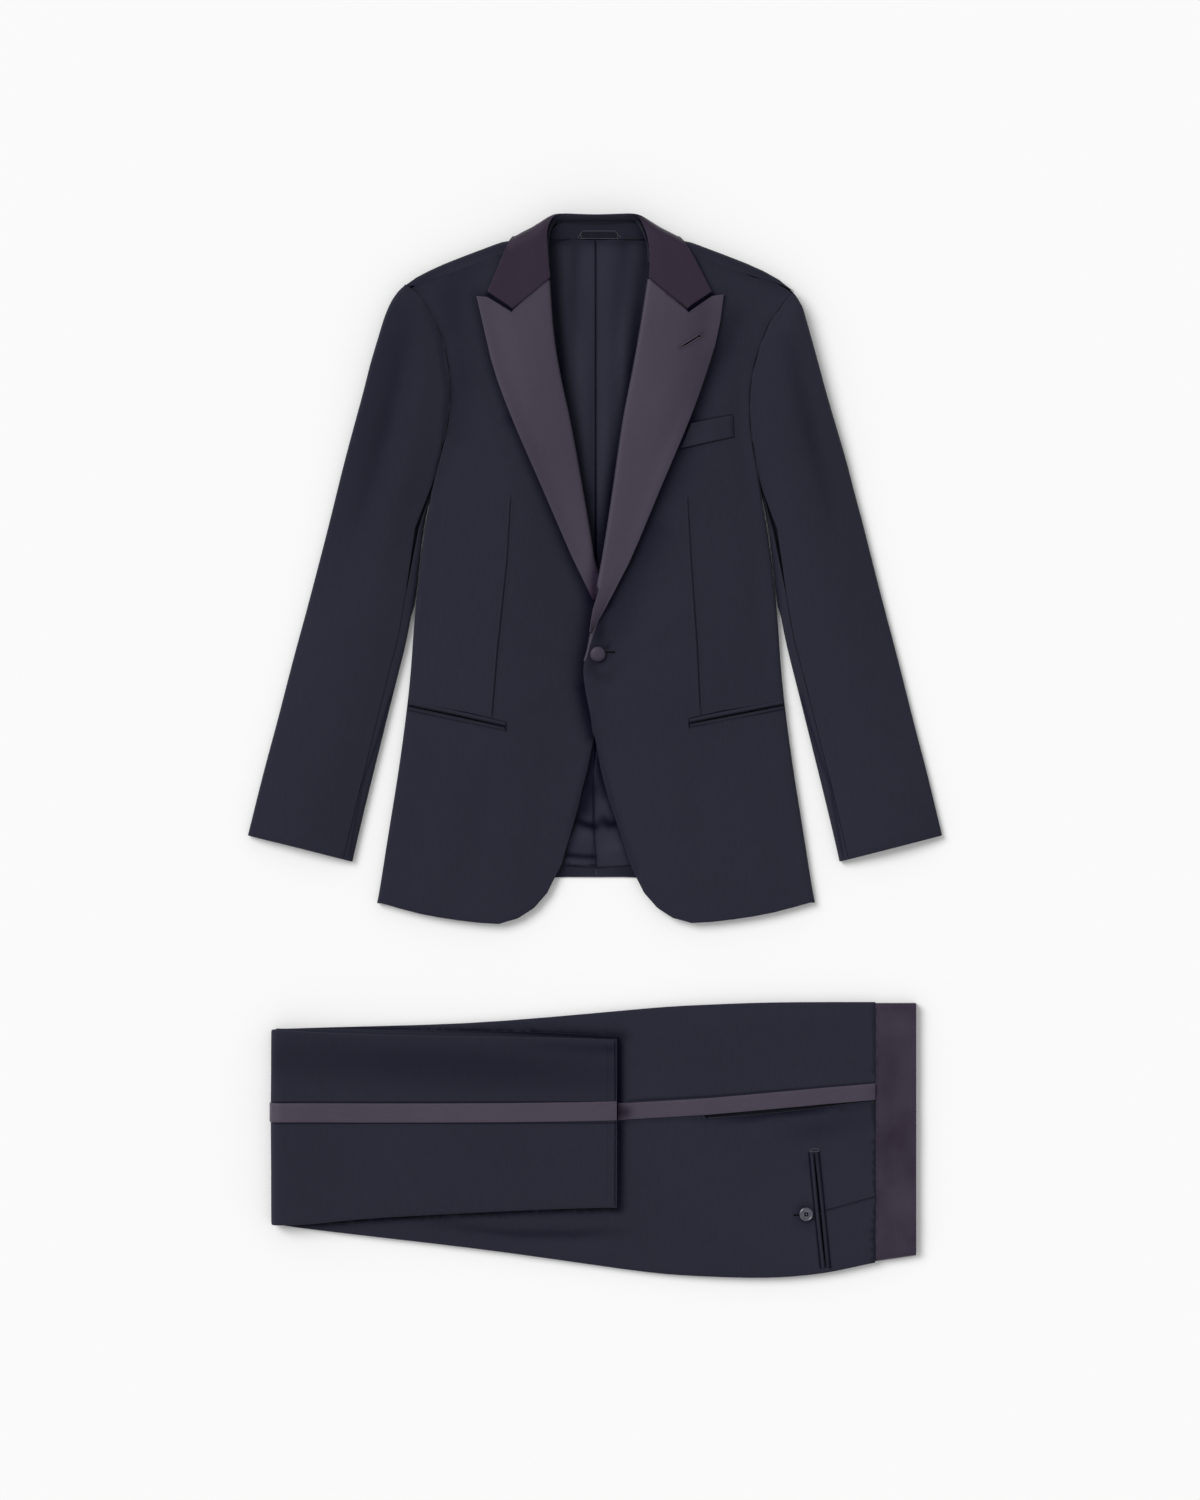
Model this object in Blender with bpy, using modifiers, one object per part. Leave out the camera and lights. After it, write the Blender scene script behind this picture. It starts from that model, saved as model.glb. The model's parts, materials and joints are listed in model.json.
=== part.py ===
# A dinner suit laid out flat, face up: a one-button jacket with its sleeves down, and below
# it the trousers, folded once across the knee so that the hems lie on the thighs.
# Lengths are millimetres. The jacket is drawn from its centre line and its front hem, the
# trousers from their fold and from the lowest point of the seat. The cloth rests on z = 0.
import math
from collections import namedtuple
from functools import partial

import bmesh
import bpy
from mathutils import Vector

MM = 0.001
JACKET_AT = (0.0, -197.85)
TROUSERS_AT = (-355.5, -587.05)

SEAM_GAP = 0.3  # between two pieces sewn together
WOOL = 2.0  # face cloth and its interlining as one wall
LINING = 1.1
FACING = 2.2  # satin over the turned-back cloth
RIBBON = 0.9  # satin braid, jets and the label
EDGE_ROUND = 5.0  # the soft fold at the body's sides
UNDER_TURN = 22.0  # how far a front runs on beneath, to the side seam
ARMHOLE_CURL = 0.2  # share of a half turn that a front bends at the armhole
ROLL = 3.7  # radius of the lapel's roll
LAPEL_LIFT = 3.0  # how far the roll stands off the front
CLOSING_LIFT = 2.8  # the buttoned front rides over the other

Height = namedtuple("Height", "y centre crown side")
BODY_HEIGHTS = (
    Height(0, 6.0, 11.2, 9.4),
    Height(100, 6.4, 12.4, 9.8),
    Height(220, 6.6, 13.6, 10.2),
    Height(300, 6.8, 14.6, 10.6),
    Height(400, 8.2, 17.0, 12.0),
    Height(500, 12.0, 20.5, 14.0),
    Height(600, 16.0, 23.5, 17.0),
    Height(680, 19.5, 24.5, 18.5),
    Height(750, 21.0, 23.0, 18.0),
)

Side = namedtuple("Side", "y x")
BODY_SIDE = (
    Side(23, 241),
    Side(94, 230),
    Side(182, 216),
    Side(270, 205),
    Side(341, 200),
    Side(428, 190),
    Side(488, 178),
    Side(543, 164),
    Side(592, 160),
    Side(628, 164),
    Side(663, 175),
    Side(690, 192),
    Side(697, 200),
)

# The front edge from the hem's curve up to the roll line and the neck, for the front that
# lies under and for the one that buttons over it.
Edge = namedtuple("Edge", "y under over")
FRONT_EDGE = (
    Edge(36, 56, 56),
    Edge(54, 45, 45),
    Edge(84, 34, 35),
    Edge(122, 20, 21),
    Edge(162, 8, 8),
    Edge(210, -2, -2),
    Edge(252, -9, -9),
    Edge(292, -12, -12),
    Edge(326, -8, -7),
    Edge(362, -4, -2),
    Edge(402, 1, 6),
    Edge(480, 14, 18),
    Edge(556, 28, 29),
    Edge(601, 38, 38),
    Edge(650, 46, 47),
    Edge(709, 50, 56),
    Edge(746, 56, 59),
)
FRONT_HEM = ((56, 36), (72, 18), (88, 7), (112, 0), (183, 9), (236, 23))
SHOULDER_SEAM = ((60, 746), (98, 738), (150, 718), (198, 699))
# The back's upper edge beneath, along the neck and then where it turns up over the shoulder.
BACK_TOP = ((0, 769), (26, 768.4), (54, 762.6), (64, 751.5), (94, 746), (132, 732.6), (168, 717), (200, 701))
NECK_SIDE = {"x": 54, "width": 10}
BACK_HEM = ((0, 53), (60, 52), (130, 42), (214, 22))
SHOULDER_ROUND = 6.0

Lapel = namedtuple("Lapel", "end top outer")
LAPELS = {
    "under": Lapel(
        382,
        ((50, 707), (92, 672.4), (119, 689), (131, 690)),
        ((131, 690), (124, 660), (112, 610), (92, 556), (58, 478), (25, 402), (15, 382)),
    ),
    "over": Lapel(
        322,
        ((56, 708), (101, 672), (127, 690), (140, 692)),
        ((140, 692), (134, 650), (122, 609), (103, 556), (70, 478), (38, 402), (14, 356), (-2, 322)),
    ),
}

# Stations of the collar's fall from its front end round to the centre back: the roll, three
# points across the fall, the outer edge, and how much wider the buttoned side stands.
Fall = namedtuple("Fall", "roll first middle third edge wider")
COLLAR = (
    Fall((50, 710.5, 27.5), (71, 694.5, 28.2), (92, 677.2, 27.0), (105, 686, 26.6), (119, 695, 26.2), 8),
    Fall((52, 728, 28.0), (71, 716, 28.4), (90, 704, 27.4), (101, 703, 26.8), (114, 706, 26.6), 7),
    Fall((53, 745, 27.6), (68, 739, 28.2), (84, 732, 27.8), (94, 730, 27.4), (104, 730, 26.9), 5),
    Fall((53, 758, 27.0), (64, 757, 28.0), (78, 753, 28.2), (88, 750, 27.8), (97, 746, 26.8), 2),
    Fall((51, 768, 26.5), (60, 770, 26.4), (72, 765.6, 24.0), (82, 761.4, 19.5), (92, 757, 14.5), 0),
    Fall((47.5, 775, 26.0), (54, 777.4, 23.0), (66, 774.5, 15.0), (76, 768, 5.0), (77, 759, 0.0), 0),
    Fall((41, 781.4, 25.2), (45, 782.4, 20.0), (50, 780.6, 9.0), (55, 773, 0.0), (56, 757, 0.0), 0),
    Fall((20, 782.0, 24.6), (20, 783.5, 19.0), (21, 783.5, 8.0), (22, 775, 0.0), (22, 757, 0.0), 0),
    Fall((0, 781.0, 24.6), (0, 782.2, 19.0), (0, 782, 8.0), (0, 774, 0.0), (0, 757, 0.0), 0),
)
Stand = namedtuple("Stand", "top waist foot wider")
COLLAR_STAND = (
    Stand((51.0, 727, 25.6), (51.5, 727, 20.0), (53.0, 727, 13.0), 6),
    Stand((52.0, 745, 25.2), (52.4, 745, 17.0), (54.0, 745, 9.0), 4),
    Stand((51.6, 757, 24.6), (50.8, 757, 19.0), (50.6, 757.4, 14.0), 1.6),
    Stand((49.6, 766, 24.0), (48.4, 765.2, 21.0), (47.8, 765.4, 18.0), 0),
    Stand((45.2, 772.4, 23.6), (44.0, 771.2, 17.5), (43.2, 771.2, 12.0), 0),
    Stand((37.6, 777.2, 24.2), (37.0, 772.4, 13.0), (37.0, 772, 6.4), 0),
    Stand((20.0, 777.6, 24.4), (20.0, 772.0, 13.0), (20.0, 771.4, 5.8), 0),
    Stand((0.0, 776.8, 24.4), (0.0, 771.4, 13.0), (0.0, 771.2, 5.8), 0),
)
NECK_FACING = {"low": 755.4, "high": 767.4, "half": 36}
LABEL = {"low": (-20, 28), "high": (-15, 21), "y": (756, 763)}

# The sleeve from the cuff up, by the height of its inner edge: how far out that edge is, where
# the outer edge is, and the heights at both edges and at the crown between them.
Sleeve = namedtuple("Sleeve", "y inner outer outer_y edge crown")
SLEEVE = (
    Sleeve(70, 268, 381, 99, 9.0, 13.0),
    Sleeve(104, 260, 373, 133, 9.0, 13.2),
    Sleeve(138, 252, 365, 167, 9.0, 13.5),
    Sleeve(182, 241, 353, 211, 9.0, 14.0),
    Sleeve(226, 230, 342, 255, 9.0, 14.5),
    Sleeve(270, 219, 331, 299, 9.2, 15.0),
    Sleeve(314, 207.5, 319, 343, 9.5, 15.5),
    Sleeve(362, 199.2, 307, 390, 10.0, 16.0),
    Sleeve(428, 190.8, 291, 453, 11.0, 17.0),
    Sleeve(486, 179.3, 279, 503, 12.0, 18.5),
    Sleeve(538, 165.8, 267, 547, 13.0, 20.0),
    Sleeve(588, 161.0, 256, 588, 14.0, 21.5),
    Sleeve(628, 165.1, 247, 619, 15.0, 22.0),
    Sleeve(663, 178.0, 236, 654, 15.5, 21.5),
    Sleeve(680, 187.0, 227, 678, 15.5, 20.5),
    Sleeve(697, 199.6, 214, 698, 15.0, 19.2),
    Sleeve(704.5, 200.9, 207, 704, 17.5, 18.4),
)
SLEEVE_APART = {"body": 0.9, "armhole": -0.6}  # from the body's own line, before both are rounded
SLEEVE_ROUND = 5.0
FORE_SEAM_IN = 10.0  # the fore seam's distance from the sleeve's inner edge at the cuff
HIND_SEAM_IN = 24.0  # the hind seam's, beneath, from the outer edge
BODY_ROWS = 21
UNDERARM = {"top": 540, "bottom": 420}

CHEST_WELT = ((104.6, 551), (150, 560), (151, 537), (93.5, 524))
# A jetted pocket: from each end of the opening, its upper edge, its slit and its lower edge.
HIP_POCKET = (((103, 226.5), (103, 221.2), (103, 216.8)), ((202, 243.6), (202, 239.2), (202, 234.8)))
JACKET_BUTTON = {"at": (2, 298), "radius": 8.5, "height": 5.0}

# The trousers: each leg is pressed with its creases at the two edges and its side seam in
# the middle. The left leg lies on the right one, and both turn back over the fold.
PLY = 4.2  # one pressed leg, front and back together
SEAT_PLY = 5.4
LEG_GAP = 0.3
FOLD_INNER = 1.6  # radius left open inside the inner leg's fold
FOLD_EASE = 90.0  # length over which the folded part settles down
CREASE_ROUND = 2.4
WAIST_SEAM_X = 663.6
HEM_X = 380.0

Outline = namedtuple("Outline", "x crease seam pocket seat")
UPPER_LEG = (
    Outline(0, 274, 184, 183.7, 60),
    Outline(84, 277, 184, 183.7, 50),
    Outline(150, 278, 184, 183.7, 42),
    Outline(216, 280, 184, 183.7, 35),
    Outline(304, 287, 184, 183.7, 23),
    Outline(348, 292, 184, 183.7, 16),
    Outline(392, 295, 184.5, 184.2, 10),
    Outline(436, 299, 187, 186.7, 5),
    Outline(468, 300.5, 189, 188.7, 3.4),
    Outline(478, 301, 189.6, 177.4, 3),
    Outline(524, 303, 193.6, 180, 1.2),
    Outline(568, 304, 197.6, 184.6, 1.8),
    Outline(612, 304, 201.6, 189, 7),
    Outline(634, 304, 203.4, 192, 12),
    Outline(664, 304, 206, 195, 18.5),
)
Turned = namedtuple("Turned", "x crease under_crease seam seat under_seat")
LOWER_LEG = (
    Turned(0, 274, 275, 184, 60, 61),
    Turned(41, 272, 275, 184, 61, 62.5),
    Turned(106, 269, 273.6, 183.6, 68, 68.5),
    Turned(184, 267.4, 273, 183.6, 72, 71.5),
    Turned(262, 266.6, 272.4, 184, 76, 75.5),
    Turned(339, 265, 269.6, 185, 79, 78.5),
    Turned(380, 263.4, 267, 186, 79.4, 79),
)
STRIPE_HALF = 10.4
WAISTBAND = {"right": 708.5, "front": 302.5, "seat": (19.5, 26.0), "ply": 5.2}
BACK_POCKET = (((591.0, 139), (596.0, 139), (601.0, 139)), ((603.6, 14), (607.4, 14), (612.6, 14)))
JET = {"thick": 1.2, "groove": 0.8, "half": 0.6}
TROUSER_BUTTON = {"at": (586.5, 72), "radius": 7.5, "height": 3.0}

COLOURS = {
    "wool": ((0.020, 0.020, 0.030), 0.85),
    "satin": ((0.052, 0.043, 0.062), 0.42),
    "collar satin": ((0.036, 0.026, 0.037), 0.5),
    "lining": ((0.030, 0.031, 0.048), 0.45),
    "button": ((0.09, 0.09, 0.10), 0.35),
}


def clear_scene():
    for obj in list(bpy.data.objects):
        bpy.data.objects.remove(obj)


def make_material(name):
    colour, roughness = COLOURS[name]
    material = bpy.data.materials.new(name)
    material.use_nodes = True
    shader = material.node_tree.nodes["Principled BSDF"]
    shader.inputs["Base Color"].default_value = (*colour, 1)
    shader.inputs["Roughness"].default_value = roughness
    shader.inputs["Metallic"].default_value = 0.0
    return material


def ease(t):
    t = min(max(t, 0.0), 1.0)
    return t * t * (3 - 2 * t)


def mix(a, b, t):
    return tuple(p + (q - p) * t for p, q in zip(a, b))


def hermite(before, start, end, after, t):
    """A smooth step from start to end that looks one row to either side."""
    return tuple(
        0.5 * (2 * q + (r - p) * t + (2 * p - 5 * q + 4 * r - s) * t * t + (3 * q - p - 3 * r + s) * t ** 3)
        for p, q, r, s in zip(before, start, end, after)
    )


def look_up(table, key):
    """The row of a table at this key, which is its first column, run straight between rows."""
    if key <= table[0][0]:
        return table[0]
    for low, high in zip(table, table[1:]):
        if key <= high[0]:
            return type(low)(*mix(low, high, (key - low[0]) / (high[0] - low[0])))
    return table[-1]


def smooth_row(rows, t):
    """Point lists between two stations of a table, t running from 0 to 1 along it."""
    place = min(max(t, 0.0), 1.0) * (len(rows) - 1)
    i = min(int(place), len(rows) - 2)
    around = [rows[min(max(k, 0), len(rows) - 1)] for k in (i - 1, i, i + 1, i + 2)]
    return [hermite(*points, place - i) for points in zip(*around)]


def along(points, count, smooth=True):
    """Evenly spaced points on a line through a few given ones."""
    dense = []
    for i in range(len(points) - 1):
        around = [points[min(max(k, 0), len(points) - 1)] for k in (i - 1, i, i + 1, i + 2)]
        for k in range(12):
            dense.append(hermite(*around, k / 12) if smooth else mix(points[i], points[i + 1], k / 12))
    dense.append(tuple(points[-1]))
    walked = [0.0]
    for a, b in zip(dense, dense[1:]):
        walked.append(walked[-1] + math.dist(a, b))
    picked = []
    for k in range(count):
        goal = walked[-1] * k / (count - 1)
        i = next((n for n in range(1, len(walked)) if walked[n] >= goal - 1e-9), len(walked) - 1)
        span = walked[i] - walked[i - 1]
        picked.append(mix(dense[i - 1], dense[i], (goal - walked[i - 1]) / span if span else 0))
    return picked


def patch(bottom, top, left, right):
    """Rows of points filling four edges: bottom and top run outwards, left and right run up."""
    rows = []
    for j, (a, b) in enumerate(zip(left, right)):
        v = j / (len(left) - 1)
        row = []
        for i, (c, d) in enumerate(zip(bottom, top)):
            u = i / (len(bottom) - 1)
            across, up = mix(a, b, u), mix(c, d, v)
            corner = mix(mix(bottom[0], bottom[-1], u), mix(top[0], top[-1], u), v)
            row.append(tuple(p + q - r for p, q, r in zip(across, up, corner)))
        rows.append(row)
    return rows


def link(name, mesh, material, place):
    obj = bpy.data.objects.new(name, mesh)
    obj.location = (place[0] * MM, place[1] * MM, 0)
    obj.data.materials.append(material)
    bpy.data.collections["Dinner suit"].objects.link(obj)
    return obj


def cloth(name, rows, wall, material, place, side=1, outward=(0, 0, 1)):
    """A wall of cloth whose outer face is a grid of points, thickened inwards."""
    across, up = len(rows[0]) - 1, len(rows) - 1
    bm = bmesh.new()
    bmesh.ops.create_grid(bm, x_segments=across, y_segments=up, size=1)
    for vert in bm.verts:
        i, j = round((vert.co.x + 1) / 2 * across), round((vert.co.y + 1) / 2 * up)
        x, y, z = rows[j][i]
        vert.co = Vector((side * x, y, z)) * MM
    bm.normal_update()
    lean = sum((face.normal * face.calc_area() for face in bm.faces), Vector())
    if lean.dot(outward) < 0:
        bmesh.ops.reverse_faces(bm, faces=bm.faces[:])
    mesh = bpy.data.meshes.new(name)
    bm.to_mesh(mesh)
    bm.free()
    mesh.shade_smooth()
    obj = link(name, mesh, material, place)
    solidify = obj.modifiers.new("Wall", "SOLIDIFY")
    solidify.thickness = wall * MM
    solidify.offset = -1
    solidify.use_even_offset = True
    return obj


def loft(name, rings, material, place):
    """A closed body through rings of points, with a flat cap at each end."""
    bm = bmesh.new()
    made = [[bm.verts.new(Vector(point) * MM) for point in ring] for ring in rings]
    for low, high in zip(made, made[1:]):
        for k in range(len(low)):
            n = (k + 1) % len(low)
            bm.faces.new((low[k], low[n], high[n], high[k]))
    bm.faces.new(made[0])
    bm.faces.new(made[-1])
    bmesh.ops.recalc_face_normals(bm, faces=bm.faces[:])
    mesh = bpy.data.meshes.new(name)
    bm.to_mesh(mesh)
    bm.free()
    mesh.shade_smooth()
    mesh.set_sharp_from_angle(angle=math.radians(40))
    return link(name, mesh, material, place)


def turned(name, profile, steps, material, place, at, z):
    """A button: a profile from its rim to its axis, turned once round."""
    mesh = bpy.data.meshes.new(name)
    mesh.from_pydata([(x * MM, 0, y * MM) for x, y in profile], [(k, k + 1) for k in range(len(profile) - 1)], [])
    obj = link(name, mesh, material, place)
    obj.location.x += at[0] * MM
    obj.location.y += at[1] * MM
    obj.location.z = z * MM
    screw = obj.modifiers.new("Turn", "SCREW")
    screw.steps = screw.render_steps = steps
    screw.use_merge_vertices = True
    screw.merge_threshold = 1e-5
    screw.use_normal_calculate = True
    return obj


# Jacket

def body_top(x, y):
    """Height of the laid body's upper face, x out from the centre line."""
    row = look_up(BODY_HEIGHTS, y)
    reach = max(x, 0) / look_up(BODY_SIDE, y).x
    if reach < 0.5:
        return row.centre + (row.crown - row.centre) * ease(reach / 0.5)
    return row.crown + (row.side - row.crown) * ease((reach - 0.5) / 0.5)


def front_top(x, y, which):
    if which == "under":
        return body_top(x, y)
    near = ease((120 - x) / 100) * ease((y - 60) / 110) * (1 - ease((y - 430) / 120))
    return body_top(x, y) + CLOSING_LIFT * near


def back_lift(y):
    """The upper back is held off the table by the collar beneath it."""
    return 2.7 * ease((y - 590) / 155)


def roll_inset(y, which):
    """How far a front stops short of the roll line, inside the lapel's roll."""
    return (ROLL + 0.9) * ease((y - LAPELS[which].end + 30) / 24)


def side_wrap(y):
    """How far a front goes on past its side: 1 is the half turn under, 2 the side seam."""
    return 2 - (2 - ARMHOLE_CURL) * ease((y - UNDERARM["bottom"]) / 100)


def armhole_share(y):
    """0 along the body's side, 1 round the armhole."""
    return ease((y - UNDERARM["bottom"]) / (UNDERARM["top"] - UNDERARM["bottom"]))


def edge_round(y):
    """Radius of the soft fold at the side, which tightens where the sleeve is sewn in."""
    return EDGE_ROUND * (1 - 0.75 * armhole_share(y))


def side_rail():
    """The side from the hem up and round the armhole, one point for each row of cloth."""
    return along([(row.x, row.y) for row in BODY_SIDE], BODY_ROWS)


def make_front(name, which, side, materials):
    across = 10
    inner = [(getattr(row, which) + roll_inset(row.y, which), row.y) for row in FRONT_EDGE]
    outer = [(x - edge_round(y), y) for x, y in side_rail()]
    grid = patch(
        along(FRONT_HEM, across),
        along([inner[-1], *SHOULDER_SEAM[1:-1], outer[-1]], across),
        along([FRONT_HEM[0], *inner[1:]], BODY_ROWS),
        outer,
    )
    rows = []
    for line in grid:
        row = [(x, y, front_top(x, y, which)) for x, y in line]
        edge_x, edge_y, height = row[-1]
        for share in (0.12, 0.25, 0.375, 0.5, 0.75, 1.0):
            turn = share * side_wrap(edge_y)
            angle = math.pi * min(turn, 1)
            under = UNDER_TURN * max(turn - 1, 0)
            x = edge_x + edge_round(edge_y) * math.sin(angle) - under
            row.append((x, edge_y, height / 2 * (1 + math.cos(angle))))
        rows.append(row)
    cloth(name, rows, WOOL, materials["wool"], JACKET_AT, side)


def make_back(name, side, materials):
    rail = []
    for x, y in side_rail():
        turn = side_wrap(y)
        tucked = edge_round(y) * ease((turn - 0.3) / 0.6) + UNDER_TURN * max(turn - 1, 0)
        rail.append((x - 2.5 * SEAM_GAP * (1 - armhole_share(y)) - tucked, y))
    rail[-1] = BACK_TOP[-1]
    top = [(max(x, SEAM_GAP / 2), y) for x, y in BACK_TOP]
    centre = [(SEAM_GAP / 2, BACK_HEM[0][1]), top[0]]
    hem = [centre[0], *BACK_HEM[1:-1], rail[0]]
    grid = patch(
        along(hem, len(top)),
        top,
        along(centre, BODY_ROWS),
        rail,
    )
    rows = [[(x, y, back_lift(y)) for x, y in line] for line in grid]
    edge = rows[-1]
    for share in (0.25, 0.5, 0.75, 1.0):
        row = []
        for x, y, z in edge:
            angle = math.pi * share
            over = ease((x - NECK_SIDE["x"]) / NECK_SIDE["width"])
            rise = over * (body_top(x, y) - z)
            out = SHOULDER_ROUND * over * math.sin(angle) + 1.2 * share * (1 - over)
            row.append((x, y + out, z + rise / 2 * (1 - math.cos(angle))))
        rows.append(row)
    seam = along(SHOULDER_SEAM, 24)
    last = []
    for (x, y, z), (_, low, _) in zip(rows[-1], edge):
        over = ease((x - NECK_SIDE["x"]) / NECK_SIDE["width"])
        nearest = min(seam, key=lambda point: abs(point[0] - x))
        sewn = min(nearest[1] + SEAM_GAP + 1.0, low - 0.5)
        last.append((x, (y + 0.4) + (sewn - y - 0.4) * over, z))
    rows.append(last)
    cloth(name, rows, WOOL, materials["wool"], JACKET_AT, side, (0, 0, -1))


def make_lining(name, side, materials):
    across, rows_up = 7, 12
    rail = [(row.x - 36 - 10 * ease((row.y - 560) / 60), row.y) for row in BODY_SIDE[1:-2]]
    rail = [(196, 62), *rail, (134, 692)]
    centre = [(SEAM_GAP, 64), (SEAM_GAP, 753.4)]
    grid = patch(
        along([centre[0], (60, 66), rail[0]], across),
        along([centre[1], (44, 752.2), (92, 724), rail[-1]], across),
        along(centre, rows_up),
        along(rail, rows_up),
    )
    height = WOOL + 2 * SEAM_GAP + LINING
    rows = [[(x, y, height + back_lift(y)) for x, y in line] for line in grid]
    cloth(name, rows, LINING, materials["lining"], JACKET_AT, side)


def make_neck(materials):
    """The strip of cloth inside the back neck, the bare label on it and the stand above."""
    face, height = NECK_FACING, WOOL + 2 * SEAM_GAP + LINING
    rows = []
    for y in (face["low"], (face["low"] + face["high"]) / 2, face["high"]):
        xs = [face["half"] * (k / 4 - 1) for k in range(9)]
        rows.append([(x, y - 0.0009 * x * x * (y > face["low"]), height + back_lift(y)) for x in xs])
    cloth("neck_facing", rows, LINING, materials["wool"], JACKET_AT)

    top = height + back_lift(face["high"]) + SEAM_GAP + RIBBON
    rows = [[(x, y, top) for x in LABEL[end]] for end, y in zip(("low", "high"), LABEL["y"])]
    cloth("neck_label", rows, RIBBON, materials["lining"], JACKET_AT)


def whole_round(half_rows):
    """A half table mirrored over the centre back, from the right end to the left, buttoned one."""
    right = [[(-x, y, z) for x, y, z in row[:-1]] for row in half_rows]
    left = [[(x + row[-1], y, z) for x, y, z in row[:-1]] for row in half_rows]
    return right + left[-2::-1]


def stations_of(table, count, across):
    """Sections at even steps round a table of stations, none lower than the table top.
    Each keeps its middle point, which is the corner at the collar's end."""
    rows = []
    for k in range(count):
        row = smooth_row(table, k / (count - 1))
        half, first = len(row) // 2, (across + 1) // 2
        line = along(row[: half + 1], first) + along(row[half:], across - first + 1)[1:]
        rows.append([(x, y, max(z, 0)) for x, y, z in line])
    return rows


def make_collar(materials):
    fall = stations_of(whole_round(COLLAR), 25, 10)
    cloth("collar", fall, WOOL, materials["collar satin"], JACKET_AT)
    stand = stations_of(whole_round(COLLAR_STAND), 17, 4)
    cloth("collar_stand", stand, WOOL, materials["wool"], JACKET_AT, outward=(0, -1, 0))


def make_lapel(name, which, side, materials):
    shape, stations, across = LAPELS[which], 15, 7
    line = [(getattr(row, which), row.y) for row in FRONT_EDGE if shape.end < row.y < 709]
    foot = look_up(FRONT_EDGE, shape.end)
    roll = [(getattr(foot, which), shape.end), *line, shape.top[0]]
    inner = [(x + ROLL, y) for x, y in roll]
    outer = list(reversed(shape.outer))
    corner, notch, tip = shape.top[1:]
    top = along([inner[-1], corner], 4) + along([corner, notch], 3)[1:] + [tip]
    grid = patch(
        along([inner[0], outer[0]], across),
        top,
        along(inner, stations),
        along(outer, stations),
    )
    rows = []
    for line in grid:
        row = []
        for k, (x, y) in enumerate(line):
            lift = LAPEL_LIFT * (1 - ease(k / (across - 1)))
            row.append((x, y, front_top(x, y, which) + FACING + 0.4 + lift))
        x, y, z = row[0]
        lip = [math.radians(angle) for angle in (-30, 10, 50)]
        turned_in = [(x - ROLL * math.cos(a), y, z - ROLL + ROLL * math.sin(a)) for a in lip]
        rows.append(turned_in + row)
    cloth(name, rows, FACING, materials["satin"], JACKET_AT, side)


def tube_point(turn, width, edge, crown, inner_round):
    """A point round a flattened tube, in whole parts: 0 to 1 over the top from the inner to
    the outer edge, to 2 round the outer edge, to 3 back beneath, to 4 round the inner one."""
    turn = turn % 4
    outer_round = min(SLEEVE_ROUND, 0.4 * width)
    flat = width - inner_round - outer_round
    if turn <= 1:
        return inner_round + flat * turn, edge + (crown - edge) * (1 - (2 * turn - 1) ** 2)
    if turn <= 2:
        angle = math.pi * (turn - 1)
        return width - outer_round * (1 - math.sin(angle)), edge / 2 * (1 + math.cos(angle))
    if turn <= 3:
        return width - outer_round - flat * (turn - 2), 0.0
    angle = math.pi * (turn - 3)
    return inner_round * (1 - math.sin(angle)), edge / 2 * (1 - math.cos(angle))


def sleeve_stations():
    """Sections down the sleeve, which round the armhole share the body's own rows."""
    rail = [point for point in side_rail()[::-1] if point[1] > UNDERARM["bottom"]]
    line = [rail[0]]
    for k in range(1, len(rail)):
        if k < 4:
            line.append(mix(rail[k - 1], rail[k], 0.5))
        line.append(rail[k])
    stations = [SLEEVE[-1]]
    for x, y in line:
        arm, share = look_up(SLEEVE, y), armhole_share(y) ** 2
        apart = SLEEVE_APART["body"] + (SLEEVE_APART["armhole"] - SLEEVE_APART["body"]) * share
        edge = arm.edge + (look_up(BODY_HEIGHTS, y).side - arm.edge) * share
        stations.append(arm._replace(inner=x + apart, edge=edge))
    return stations + [row for row in reversed(SLEEVE) if row.y < UNDERARM["bottom"] - 20]


def sleeve_rows(turns_of):
    rows = []
    for station in sleeve_stations():
        inner, outer = (station.inner, station.y), (station.outer, station.outer_y)
        width = math.dist(inner, outer)
        lower = 1 - armhole_share(station.y)
        inner_round = SLEEVE_ROUND * (0.2 + 0.8 * lower)
        row = []
        for turn in turns_of(lower, width):
            out, z = tube_point(turn, width, station.edge, station.crown, inner_round)
            x, y = mix(inner, outer, out / width)
            row.append((x, y, z))
        rows.append(row)
    return rows


def make_sleeve(name, side, materials):
    def fore(lower, width, gap):
        """Where the fore seam is: at the armhole, then on top near the inner edge."""
        seam = (FORE_SEAM_IN - SLEEVE_ROUND) * lower / max(width - 2 * SLEEVE_ROUND, 1)
        return -ARMHOLE_CURL * (1 - lower) + seam + gap * lower

    def upper(lower, width):
        flat = max(width - 2 * SLEEVE_ROUND, 1)
        start = fore(lower, width, SEAM_GAP / flat)
        over = [start + (0.94 - start) * k / 7 for k in range(8)]
        hind = 2 + min(HIND_SEAM_IN - SLEEVE_ROUND, 0.3 * flat) / flat
        return [*over, 1.0, 1.2, 1.4, 1.6, 1.8, 2.0, hind]

    def under(lower, width):
        flat = max(width - 2 * SLEEVE_ROUND, 1)
        hind = 2 + (min(HIND_SEAM_IN - SLEEVE_ROUND, 0.3 * flat) + SEAM_GAP) / flat
        end = 3.0 + (1 + fore(1, width, -SEAM_GAP / flat)) * lower
        if lower < 1:
            end = min(end, 3.0 + 0.98 * lower)
        bend = 3.0 - min(0.5, 6 / flat)
        beneath = [hind + (bend - hind) * k / 5 for k in range(6)]
        return beneath + [bend + (end - bend) * k / 6 for k in range(1, 7)]

    cloth(name + "_top", sleeve_rows(upper), WOOL, materials["wool"], JACKET_AT, side)
    cloth(name + "_under", sleeve_rows(under)[1:], WOOL, materials["wool"], JACKET_AT, side, (0, 0, -1))


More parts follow.
